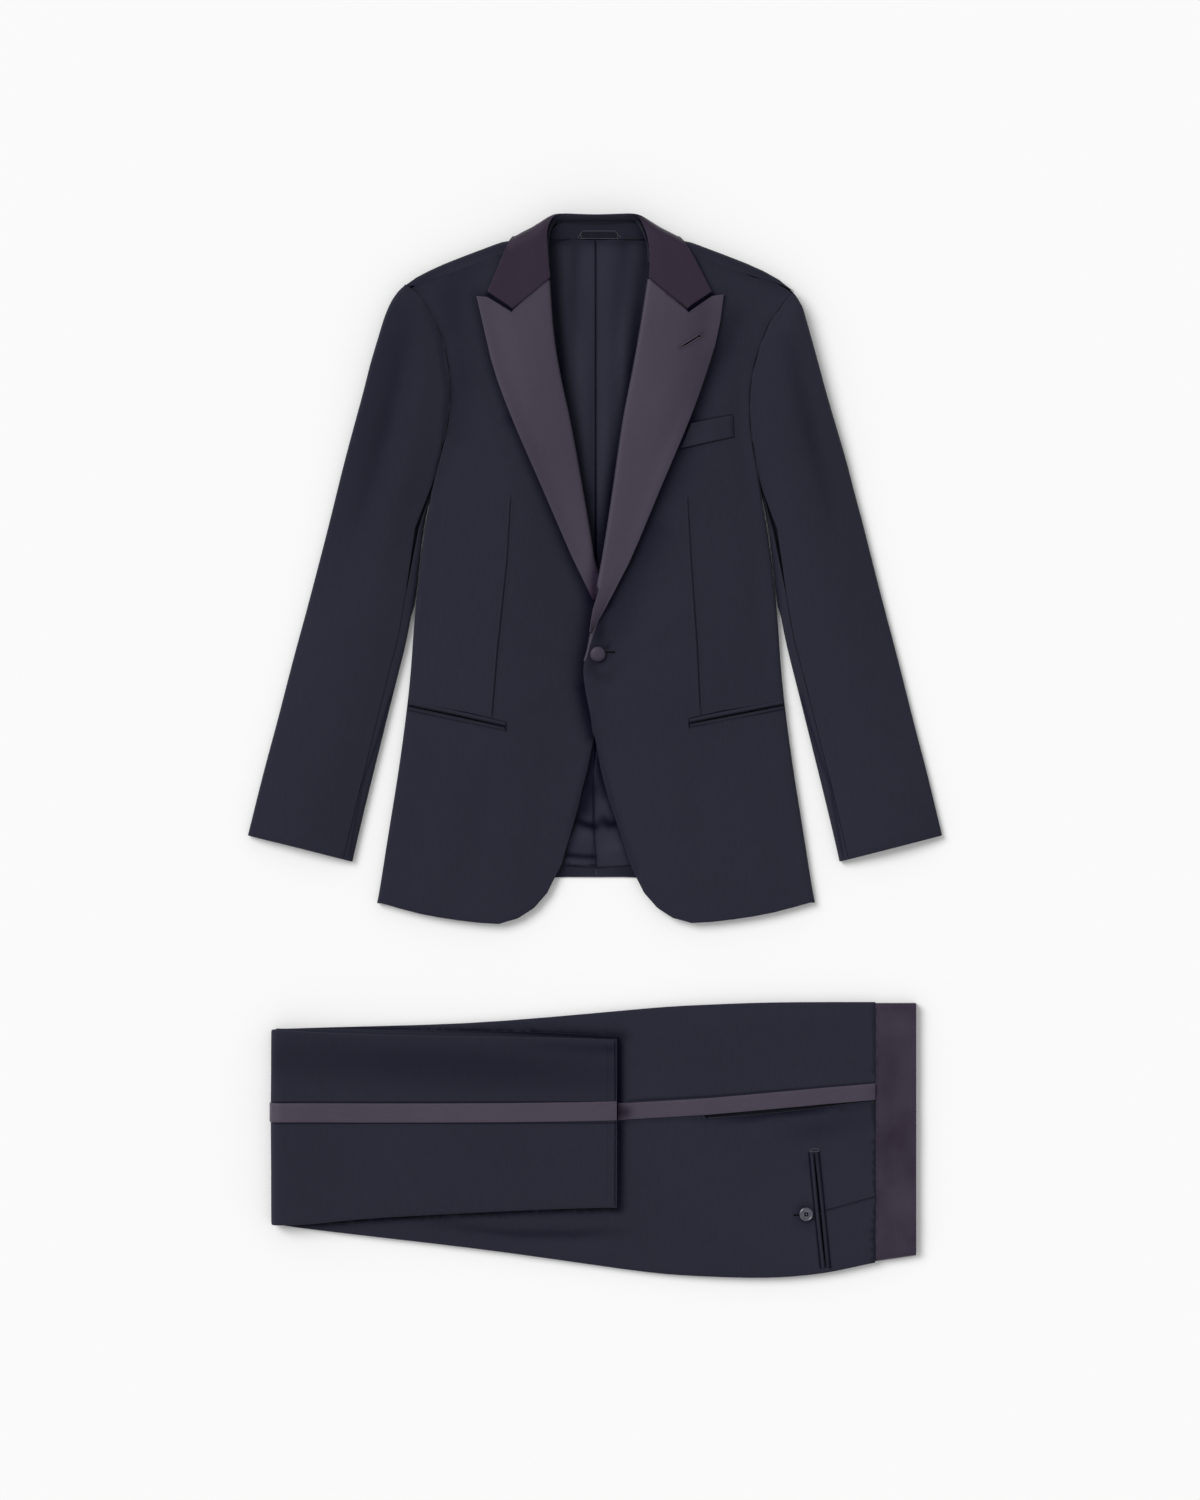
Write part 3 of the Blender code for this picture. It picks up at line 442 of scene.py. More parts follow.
def alongPath(x, y, path):
    return nearestOn(x, y, path)[:2]


def drawnTo(piece, at, line, reach, most, leave=0.08):
    # draws a cut edge up to the line that it is sewn along
    def rule(x, y, z):
        apart, place, toX, toY = nearestOn(x, y, line)
        inside = easeTo(place / 0.02) * easeTo((1 - place) / 0.02)
        move = np.minimum(np.maximum(apart - leave, 0), most * easeTo((reach - apart) / (0.7 * reach))) * inside
        return toX / np.maximum(apart, 1e-6) * move, toY / np.maximum(apart, 1e-6) * move, 0

    movePoints(piece, at, rule)


def bent(x, y, moves):
    # bends the plane smoothly so that each first point lands on its second
    old, new = np.array([m[0] for m in moves], float), np.array([m[1] for m in moves], float)

    def pull(apart):
        return 0.5 * apart * np.log(apart + 1e-9)

    count = len(old)
    matrix = np.zeros((count + 3, count + 3))
    matrix[:count, :count] = pull(((old[:, None] - old[None]) ** 2).sum(2))
    matrix[:count, count:] = np.c_[np.ones(count), old]
    matrix[count:, :count] = matrix[:count, count:].T
    weights = np.linalg.solve(matrix, np.r_[new - old, np.zeros((3, 2))])
    spots = np.c_[x, y]
    made = pull(((spots[:, None] - old[None]) ** 2).sum(2)) @ weights[:count] + np.c_[np.ones(len(x)),
        spots] @ weights[count:]
    return made[:, 0], made[:, 1]


def softFolds(x, y, folds):
    # each fold is a line, its half width and its height at three places along it
    rise = np.zeros(x.shape)
    for line, half, heights in folds:
        apart, place = alongPath(x, y, line)
        rise += np.interp(place, (0, 0.5, 1), heights) * np.exp(-((apart / half) ** 2))
    return rise


def paintShade(piece, at, bands):
    # painted shade: how much each point is darkened, from nothing to one, in bands along creases, edges and seams; a
    # band is a line, its half width and its depths along it
    places = points(piece)
    x, y = places[:, 0] / mm - at[0], places[:, 1] / mm - at[1]
    exposed = np.ones(x.shape)
    for line, half, depths in bands:
        apart, place = alongPath(x, y, line)
        deep = np.interp(place, np.linspace(0, 1, len(depths)), depths)
        exposed *= 1 - deep * np.exp(-((apart / half) ** 2))
    layer = piece.data.attributes.get("paintedShade") or piece.data.attributes.new("paintedShade", "FLOAT", "POINT")
    layer.data.foreach_set("value", (1 - exposed).astype(np.float32))


def refine(piece, at, lines, reach, cell, upward=True):
    # smaller faces along a seam, on the side of the cloth that shows
    for halving in range(3):
        mesh = bmesh.new()
        mesh.from_mesh(piece.data)
        mesh.normal_update()
        mesh.faces.ensure_lookup_table()
        middles = np.array([face.calc_center_median() for face in mesh.faces])
        tilt = np.array([face.normal.z for face in mesh.faces])
        close = np.zeros(len(middles), bool)
        for line in lines:
            apart, _ = alongPath(middles[:, 0] / mm - at[0], middles[:, 1] / mm - at[1], line)
            close |= apart < reach + 3.5 / (halving + 1)
        if upward:
            close &= tilt > 0.3
        edges = {edge for k in np.nonzero(close)[0] for edge in mesh.faces[k].edges}
        edges = [edge for edge in edges if edge.calc_length() > cell * mm]
        if edges:
            halve(mesh, edges)
            mesh.to_mesh(piece.data)
        mesh.free()


def sinkSeams(piece, at, seams, above):
    # a seam is a line, its half width and depth, and whether its ends fade; the cloth each side swells a little
    refine(piece, at, [seam[0] for seam in seams], 2.5, 0.9)
    up = facing(piece)[:, 2]

    def rule(x, y, z):
        drop = np.zeros(x.shape)
        for line, half, depth, *fades in seams:
            apart, place = alongPath(x, y, line)
            ends = easeTo(place / 0.03) * easeTo((1 - place) / 0.03) if fades else 1.0
            swell = 0.35 * depth * np.exp(-(((apart - 2.2 * half) / half) ** 2))
            drop += ends * (swell - depth * np.exp(-((apart / half) ** 2)))
        return (0, 0, np.where((up > 0.2) & (z > above), drop, 0))

    movePoints(piece, at, rule)


def joined(pieces, name):
    bpy.ops.object.select_all(action="DESELECT")
    for piece in pieces:
        piece.select_set(True)
    bpy.context.view_layer.objects.active = pieces[0]
    if len(pieces) > 1:
        bpy.ops.object.join()
    whole = bpy.context.view_layer.objects.active
    whole.name = name
    for old in list(whole.users_collection):
        old.objects.unlink(whole)
    suit.objects.link(whole)
    onlyThis(whole)
    bpy.ops.object.transform_apply(location=True, rotation=True, scale=True)
    return whole


def heightAt(x, y):
    # the topmost cloth under a point, in metres
    start = Vector((x, y, 0.2))
    best = 0.0
    for piece in suit.objects:
        if piece.type != "MESH":
            continue
        hit, place, _, _ = piece.ray_cast(start, Vector((0, 0, -1)))
        if hit:
            best = max(best, place.z)
    return best


def evenSteps(path, step):
    # points a step apart along a line of straight runs
    path = [Vector(p).to_2d() for p in path]
    made = []
    for a, b in zip(path, path[1:]):
        count = max(1, round((b - a).length / step))
        made += [a + (b - a) * k / count for k in range(count)]
    return made + [path[-1]]


def objectFrom(mesh, name):
    bmesh.ops.recalc_face_normals(mesh, faces=mesh.faces[:])
    data = bpy.data.meshes.new(name)
    mesh.to_mesh(data)
    mesh.free()
    piece = bpy.data.objects.new(name, data)
    suit.objects.link(piece)
    return piece


def threadAlong(name, at, path, radius, lift):
    # a fine round thread laid on the cloth
    spots = evenSteps(path, 1.6)
    mesh = bmesh.new()
    rings = []
    for k, spot in enumerate(spots):
        along = (spots[min(k + 1, len(spots) - 1)] - spots[max(k - 1, 0)]).normalized()
        side = Vector((-along.y, along.x))
        x, y = (at[0] + spot.x) * mm, (at[1] + spot.y) * mm
        middle = Vector((x, y, heightAt(x, y) + lift * mm))
        ring = []
        for turn in range(6):
            angle = math.tau * turn / 6
            out = side * math.cos(angle) * radius * mm
            ring.append(mesh.verts.new(middle + Vector((out.x, out.y, math.sin(angle) * radius * mm))))
        rings.append(ring)
    for low, high in zip(rings, rings[1:]):
        for i in range(6):
            mesh.faces.new((low[i], low[(i + 1) % 6], high[(i + 1) % 6], high[i]))
    mesh.faces.new(rings[0])
    mesh.faces.new(rings[-1])
    return objectFrom(mesh, name)


def finished(piece, material, standsFor=(), edge=0.0, smoothAngle=None):
    # rounds the cut edges, gives the finish, and hands the piece to the frame
    if edge:
        bevel = piece.modifiers.new("edge", "BEVEL")
        bevel.width = edge * mm
        bevel.segments = 2
        bevel.limit_method = "ANGLE"
        bevel.angle_limit = math.radians(50)
        bevel.use_clamp_overlap = True
        applied(piece)
    piece.data.materials.clear()
    piece.data.materials.append(materials[material])
    piece.data.shade_smooth()
    if smoothAngle:
        onlyThis(piece)
        bpy.ops.object.shade_smooth_by_angle(angle=math.radians(smoothAngle))
    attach(piece, "root")
    if standsFor:
        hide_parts(*standsFor)
    return piece


# Jacket

shoulders = {
    # where points of the even solid lie in the worn-in cloth, for a side seen as positive x
    "top": (
        ((105, 748.5), (105, 751.8)), ((120, 743.4), (120, 746.3)), ((135, 737.7), (135, 740.8)),
        ((150, 731.3), (150, 734.9)), ((165, 724.5), (165, 729)), ((175, 720), (175, 724.7)), ((185, 715),
            (185, 719.8)),
        ((98, 738.7), (98, 738.7)), ((125, 728.4), (125, 728.6)), ((150, 718.8), (150, 719.2)), ((172, 710),
            (173, 711)),
    ),
    "outside": (
        ((230, 668), (232, 670)), ((237, 650), (238.6, 650)), ((246, 620), (247, 620)), ((256, 588), (256, 588)),
        ((267, 547), (267, 547)), ((279, 503), (279, 503)), ((110, 560), (110, 560)), ((115, 620), (115, 620)),
        ((110, 690), (110, 690)), ((130, 500), (130, 500)), ((205, 460), (205, 460)), ((190, 428), (190, 428)),
    ),
    "seamLeft": (
        ((195, 709.5), (207, 706.2)), ((200, 702), (214.5, 697.4)), ((189, 683), (206.1, 682.7)), ((178, 663),
            (192.5, 662.9)),
        ((170.4, 643), (183.9, 643)), ((163.9, 618.4), (175.2, 618.4)), ((161.2, 588), (169.6, 588.8)),
        ((163, 566), (169.6, 566.6)), ((168.5, 530), (172.5, 530)), ((175, 500), (177, 500)), ((206, 705.5),
            (217.5, 695.6)),
        ((212, 700.3), (220, 692)), ((219, 690), (225.5, 683)),
    ),
    "seamRight": (
        ((195, 709.5), (202, 709.8)), ((200, 702), (207, 702.4)), ((189, 683), (187.4, 683)), ((178, 663),
            (176.5, 663)),
        ((170.4, 643), (169, 643)), ((163.9, 618.4), (162.5, 618.4)), ((161.2, 588), (159.5, 588)),
        ((206, 705.5), (211, 702.9)), ((212, 700.3), (215.2, 700)), ((223, 685), (225, 688)),
    ),
    "close": (620, 75, 110, 3.2),  # where one sleeve lies nearer the body: middle, how far up and down, and how much
}
armholes = {
    "left": ((217, 696), (206.1, 682.7), (192.5, 662.9), (183.9, 643), (175.2, 618.4), (169.6, 588.8), (169.6, 566.6),
        (172.5, 530), (177, 500), (183, 470)),
    "right": ((-209, 703), (-198, 697.4), (-187.4, 683), (-176.5, 663), (-169, 643), (-162.5, 618.4), (-159.5, 588),
        (-163, 560), (-170, 520), (-177, 492), (-183, 466)),
    "reach": 4.5, "pull": 1.3, "half": 1.1, "depth": 0.45, "seamAbove": 8,
    # its uppermost run, past the edge of the shoulder
    "topLeft": ((226, 704), (217, 696), (210, 688), (203, 678.5)),
    "topRight": ((-214, 708), (-207.5, 702.4), (-198, 697.4), (-190, 687), (-185, 679)),
    "topReach": 6.5, "topPull": 3.0,
    "sides": ((192, 420), (197, 372), (200.5, 345)),  # where the sleeve lies against the body
    "sideReach": 6, "sidePull": 1.6,
}
shoulderSeam = {
    "left": ((58, 747.4), (98, 739), (125, 728.8), (150, 719.8), (173, 712.6), (183, 709.5), (196, 705.8), (209, 701.5),
        (218, 697)),
    "right": ((-58, 747.4), (-98, 739), (-125, 728.8), (-150, 719.3), (-173, 711), (-197, 703), (-206, 700.5)),
    "reach": 5.5, "pull": 2.2,
}


def fitShoulders(piece):
    def rule(x, y, z):
        moveX, moveY = np.zeros((2,) + x.shape)
        for sign, side in ((1, "seamLeft"), (-1, "seamRight")):
            inside = np.nonzero((sign * x > 78) & (y > 400))[0]
            if len(inside):
                out = sign * x[inside]
                goX, goY = bent(out, y[inside], shoulders["top"] + shoulders["outside"] + shoulders[side])
                if sign > 0:  # this sleeve hangs closer
                    high = y[inside] - shoulders["close"][0]
                    wide = np.where(high > 0, shoulders["close"][1], shoulders["close"][2])
                    close = shoulders["close"][3] * np.exp(-((high / wide) ** 2)) * easeTo((700 - y[inside]) / 30)
                    goX = goX - close * easeTo((out - 195) / 40)
                share = easeTo((out - 80) / 22) * easeTo((y[inside] - 440) / 60)
                moveX[inside], moveY[inside] = sign * goX * share, goY * share
        return moveX, moveY, 0

    movePoints(piece, jacketAt, rule)


def sewShoulder(piece, word):
    drawnTo(piece, jacketAt, shoulderSeam[word], shoulderSeam["reach"], shoulderSeam["pull"])


def drawArmhole(piece, word):
    drawnTo(piece, jacketAt, armholes[word], armholes["reach"], armholes["pull"], -0.15)
    drawnTo(piece, jacketAt, armholes["top" + word.capitalize()], armholes["topReach"], armholes["topPull"], -0.15)


def sewArmhole(piece, word):
    drawArmhole(piece, word)
    sinkSeams(piece, jacketAt, [(armholes[word], armholes["half"], armholes["depth"], True)], armholes["seamAbove"])


drape = {
    # how far the pressed-down cloth of the body leaves its even form, in mm, wearer's left +x
    "bodyFolds": (
        (((152, 690), (132, 600), (124, 540)), 24, (0.4, 0.9, 0.2)),
        (((151, 672), (143, 640), (130, 608), (118, 574)), 11, (-0.8, -2.6, -2.2)),
        (((182, 655), (160, 600), (158, 540), (172, 470)), 9, (-0.3, -1.8, -1.0)),
        (((16, 352), (46, 400), (82, 478), (118, 560), (134, 620)), 13, (-0.8, -3.4, -2.4)),
        (((40, 360), (80, 420), (108, 480)), 12, (0.3, 1.4, 0.3)),
        (((16, 288), (62, 316), (120, 366)), 12, (0.9, 0.8, 0.0)),
        (((18, 270), (40, 296), (96, 318)), 9, (-0.8, -0.7, 0.0)),
        (((14, 284), (70, 262), (140, 258)), 14, (0.8, 0.7, 0.0)),
        (((185, 40), (168, 130), (160, 200)), 24, (1.2, 0.8, 0.0)),
        (((96, 20), (80, 110), (62, 190)), 18, (0.0, 0.9, 0.3)),
        (((128, 26), (116, 110), (108, 190)), 14, (0.0, -0.9, -0.2)),
        (((150, 300), (158, 380), (150, 450)), 20, (0.3, 1.2, 0.2)),
        (((188, 280), (180, 350), (176, 430)), 10, (-0.6, -1.1, -0.3)),
        (((-148, 690), (-130, 600), (-126, 520)), 26, (0.4, 1.2, 0.2)),
        (((-176, 655), (-152, 590), (-154, 520), (-172, 480)), 9, (-0.2, -1.6, -1.0)),
        (((-136, 668), (-128, 630), (-112, 575), (-90, 520)), 9, (-0.6, -1.6, -1.2)),
        (((-80, 500), (-50, 430), (-24, 384)), 9, (-1.0, -1.4, -0.6)),
        (((-20, 300), (-70, 330), (-130, 360)), 14, (0.9, 0.7, 0.0)),
        (((-18, 282), (-60, 298), (-110, 300)), 10, (-0.9, -0.6, 0.0)),
        (((-18, 276), (-80, 248), (-150, 246)), 16, (0.7, 0.8, 0.0)),
        (((-180, 40), (-160, 120), (-158, 200)), 22, (1.0, 0.9, 0.0)),
        (((-100, 20), (-86, 100), (-70, 180)), 17, (0.0, 0.9, 0.3)),
        (((-132, 30), (-124, 110), (-112, 190)), 13, (0.0, -0.8, -0.2)),
        (((-152, 310), (-160, 380), (-150, 450)), 22, (0.2, 1.1, 0.3)),
        (((-190, 280), (-182, 350), (-178, 430)), 10, (-0.5, -1.0, -0.3)),
        (((-15, 268), (-6, 214), (10, 150), (36, 84)), 6, (-0.6, -0.9, -0.4)),
    ),
    "keepBelow": 3.5,  # cloth lower than this is the part that lies on the table
    "fullAbove": 6.5,
}


def bodyRise(x, y, z):
    share = easeTo((z - drape["keepBelow"]) / (drape["fullAbove"] - drape["keepBelow"]))
    return softFolds(x, y, drape["bodyFolds"]) * share


fronts = {
    "levels": 2, "cell": 5.4, "edge": 0.6, "seamAbove": 4.0, "hemRiseLeft": 2.6, "hemRiseRight": 1.6,
    # how far the edges move at each height, and where they lie
    "swingLeft": ((20, -3.2), (53, -3.4), (80, -2.6), (105, -2.0), (150, -1.2), (190, 0.0)),
    "swingRight": ((0, 1.5), (20, 2.7), (38, 2.5), (53, 2.1), (66, 2.4), (80, 0.8), (111, -0.9), (149, -3.5),
        (205, -3.6), (240, -2.0), (300, 0.0)),
    "edgeAt": ((0, 105), (18, 70), (53, 46), (80, 35), (120, 22), (160, 10), (205, 2), (300, 0)),
    "swingOver": 55,
    "overEdge": ((4, 372), (-3.2, 348), (-6.3, 329), (-9.5, 308), (-12.8, 292), (-14, 282), (-13.6, 272), (-11.8, 259),
        (-6, 230), (-3.2, 208)),
    "overRise": (0.4, 1.8, 2.2, 2.0, 0.8),  # how far the buttoned edge stands up, from its top down
    "overHalf": 12, "overReach": 9, "overPull": 2.8,
    # where the painted shade needs finer cloth, and how far out: the notches, and round the button
    "fineLeft": ((((101, 673), (126, 691)), 4), (((2, 298), (3, 299)), 10)),
    "fineRight": ((((-92, 673), (-118, 691)), 4),),
    "fineCell": 1.8,
    # darts, pocket mouths and their outlines: line, half width, depth
    "seamsLeft": (
        (((101, 472), (105, 402), (112, 300), (115, 238)), 0.8, 1.1, True),
        (((104, 221.5), (156, 232), (207, 241.5)), 1.3, 1.8),
        (((103, 227), (140, 235.5), (208, 245.8)), 0.6, 0.7),
        (((103, 217.6), (140, 225.4), (208, 237.6)), 0.6, 0.6),
        (((102.6, 217.6), (102.6, 227)), 0.6, 0.7),
        (((90, 546.5), (104, 552.6), (150.6, 560.8), (151.8, 536.2), (92, 523)), 0.7, 0.6),
    ),
    "seamsRight": (
        (((-93, 472), (-97, 402), (-108, 300), (-114, 227)), 0.8, 1.1, True),
        (((-101, 218), (-152, 230), (-206, 240.5)), 1.3, 1.8),
        (((-99, 222.6), (-140, 233), (-206, 244.6)), 0.6, 0.7),
        (((-99.6, 214), (-140, 222.6), (-207, 236.4)), 0.6, 0.6),
        (((-98.8, 214), (-98.8, 222.6)), 0.6, 0.7),
    ),
    # painted shade on the wearer's left front: along the lapel edge, notch, pocket mouths, darts, seams and round the
    # button
    "hollowsLeft": (
        (((141, 694), (134, 650), (122, 609), (103, 556)), 8, (0.1, 0.35, 0.5, 0.65)),
        (((103, 556), (70, 478), (38, 402), (14, 356)), 9, (0.6, 0.65, 0.6, 0.5)),
        (((128, 620), (112, 560), (88, 490), (56, 410)), 16, (0.2, 0.3, 0.3, 0.15)),
        (((14, 356), (5, 334), (3, 318)), 6, (0.45, 0.55, 0.6)),
        (((64, 430), (34, 366), (16, 322)), 18, (0.3, 0.35, 0.25)),
        (((101, 673), (126, 691)), 5, (1, 0.9)),
        (((58, 752), (55, 768), (47, 780)), 6, (0.9, 0.9, 0.8)),
        (((102, 740), (108, 726), (118, 702), (124, 690)), 4, (0.3, 0.45, 0.5, 0.5)),
        (((152, 668), (144, 640), (132, 606)), 12, (0.25, 0.35, 0.2)),
        (((2, 298), (3, 299)), 10.6, (0.85, 0.85)),
        (((12, 306), (15, 309)), 2.4, (0.5, 0.2)),
        (((-6, 284), (2, 274), (16, 272)), 6, (0.3, 0.25, 0.1)),
        (((98, 549), (94, 538), (90, 526)), 7, (0.5, 0.5, 0.4)),
        (((104, 221.5), (156, 232), (207, 241.5)), 1.8, (0.9, 1, 0.9)),
        (((103, 227), (140, 235.5), (208, 245.8)), 0.9, (0.75, 0.7, 0.6)),
        (((103, 217.6), (140, 225.4), (208, 237.6)), 0.9, (0.3, 0.4, 0.5)),
        (((103, 227.4), (140, 235.9), (208, 246.2)), 0.8, (0.5, 0.5, 0.4)),
        (((102.4, 218.4), (102.4, 226.6)), 0.9, (0.7, 0.8)),
        (((101, 472), (105, 402), (112, 300), (115, 232)), 0.9, (0.3, 0.5, 0.6, 0.6)),
        (((90, 546.5), (104, 552.6), (150.6, 560.8), (151.8, 536.2), (92, 523)), 0.9, (0.4, 0.3, 0.3, 0.4)),
        (((60, 748), (110, 738), (160, 722), (206, 700)), 8, (0.15, 0.2, 0.25, 0.2)),
        (((206, 682), (192, 663), (175, 618), (169.6, 588), (172, 545)), 4, (0.1, 0.3, 0.35, 0.3, 0.3)),
        (((-6, 232), (8, 170), (20, 124), (44, 60)), 4, (0.2, 0.3, 0.3, 0.2)),
    ),
    # painted shade on the wearer's right front: along the lapel, the buttoned edge, notch, pocket, dart and seams
    "hollowsRight": (
        (((-131, 691), (-124, 660), (-112, 610), (-92, 556)), 7, (0.4, 0.55, 0.6, 0.6)),
        (((-92, 673), (-118, 691)), 5, (1, 0.9)),
        (((-96, 740), (-101, 726), (-110, 702), (-115, 690)), 4, (0.3, 0.45, 0.5, 0.5)),
        (((-148, 712), (-160, 690), (-160, 664)), 18, (0.2, 0.3, 0.2)),
        (((-92, 556), (-58, 478), (-25, 402), (-4, 358)), 7.5, (0.6, 0.75, 0.8, 0.85)),
        (((-3, 360), (-6.3, 329), (-12.8, 292), (-14, 276), (-11.8, 259), (-6, 230)), 8,
            (0.85, 0.85, 0.8, 0.85, 0.8, 0.7)),
        (((-14, 262), (-9, 240), (-4, 209)), 8, (0.8, 0.85, 0.85)),
        (((-57, 752), (-53, 768), (-46, 780)), 6, (0.9, 0.9, 0.8)),
        (((-9, 359), (-12, 329), (-19, 288), (-17, 259), (-12, 234)), 12, (0.2, 0.3, 0.3, 0.25, 0.15)),
        (((-101, 218), (-152, 230), (-206, 240.5)), 1.8, (0.9, 1, 0.9)),
        (((-99, 222.6), (-140, 233), (-206, 244.6)), 0.9, (0.75, 0.7, 0.6)),
        (((-99.6, 214), (-140, 222.6), (-207, 236.4)), 0.9, (0.3, 0.4, 0.5)),
        (((-99, 223.2), (-140, 233.6), (-206, 245)), 0.8, (0.5, 0.5, 0.4)),
        (((-98.8, 214), (-98.8, 222.6)), 0.9, (0.8, 0.7)),
        (((-93, 472), (-97, 402), (-108, 300), (-114, 225)), 0.9, (0.3, 0.5, 0.6, 0.6)),
        (((-60, 748), (-110, 738), (-160, 722), (-206, 700)), 9, (0.2, 0.3, 0.3, 0.3)),
        (((-198, 697), (-187, 683), (-169, 643), (-159.5, 588), (-166, 540)), 4.5, (0.1, 0.3, 0.4, 0.4, 0.3)),
        (((-152, 660), (-146, 600), (-150, 540)), 14, (0.1, 0.25, 0.15)),
        (((-6, 228), (-2, 200), (-12, 164), (-30, 100)), 4, (0.5, 0.4, 0.3, 0.2)),
    ),
}


def overLift(x, y, z):
    apart, place = alongPath(x, y, fronts["overEdge"])
    height = np.interp(place, (0, 0.25, 0.5, 0.75, 1), fronts["overRise"])
    return 0, 0, height * np.exp(-((apart / fronts["overHalf"]) ** 2)) * easeTo((z - 4) / 2)


def followOverEdge(piece):
    drawnTo(piece, jacketAt, fronts["overEdge"], fronts["overReach"], fronts["overPull"], 0)
    movePoints(piece, jacketAt, overLift)


def frontHem(x, y, z, word):
    # the rounded corners of the hem sit a little higher than the even form, and the edges above them swing in
    heights, swing = zip(*fronts["swing" + word.capitalize()])
    edge = np.interp(y, *zip(*fronts["edgeAt"]))
    across = np.interp(y, heights, swing) * np.exp(-(((np.abs(x) - edge) / fronts["swingOver"]) ** 2))
    return across, fronts["hemRise" + word.capitalize()] * easeTo((60 - y) / 50) * easeTo((np.abs(x) - 70) / 40), 0


def makeFronts():
    for word in ("left", "right"):
        piece = softened("front_" + word, "frontCloth" + word.capitalize(), fronts["levels"])
        evenOut(piece, fronts["cell"])
        fitShoulders(piece)
        movePoints(piece, jacketAt, lambda x, y, z: (0, 0, bodyRise(x, y, z)))
        movePoints(piece, jacketAt, lambda x, y, z, word=word: frontHem(x, y, z, word))
        sewShoulder(piece, word)
        if word == "left":
            followOverEdge(piece)
        sewArmhole(piece, word)
        sinkSeams(piece, jacketAt, fronts["seams" + word.capitalize()], fronts["seamAbove"])
        for line, reach in fronts["fine" + word.capitalize()]:
            refine(piece, jacketAt, [line], reach, fronts["fineCell"])
        paintShade(piece, jacketAt, fronts["hollows" + word.capitalize()])
        finished(piece, "darkWool", ["front_" + word], fronts["edge"])


backs = {
    "levels": 2, "edge": 0.7,
    # painted shade under the lining's hem, inside the neck and along the shoulders
    "hollows": (
        (((50, 58), (34, 59), (16, 60)), 7, (1, 0.7, 0.2)),
        (((-48, 58), (-34, 59), (-16, 60)), 7, (1, 0.8, 0.3)),
        (((58, 752), (55, 768), (47, 780)), 6, (0.9, 0.9, 0.8)),
        (((-57, 752), (-53, 768), (-46, 780)), 6, (0.9, 0.9, 0.8)),
        (((60, 755), (110, 746), (160, 729), (205, 704)), 7, (0.25, 0.3, 0.3)),
        (((-60, 755), (-110, 746), (-160, 729), (-205, 704)), 7, (0.35, 0.35, 0.35)),
    ),
}


def makeBacks():
    for word in ("left", "right"):
        piece = softened("back_" + word, "backCloth" + word.capitalize(), backs["levels"])
        fitShoulders(piece)
        sewShoulder(piece, word)
        drawArmhole(piece, word)
        refine(piece, jacketAt, [((-50, 57), (50, 57))], 5, 3.0)
        paintShade(piece, jacketAt, backs["hollows"])
        finished(piece, "darkWool", ["back_" + word], backs["edge"])


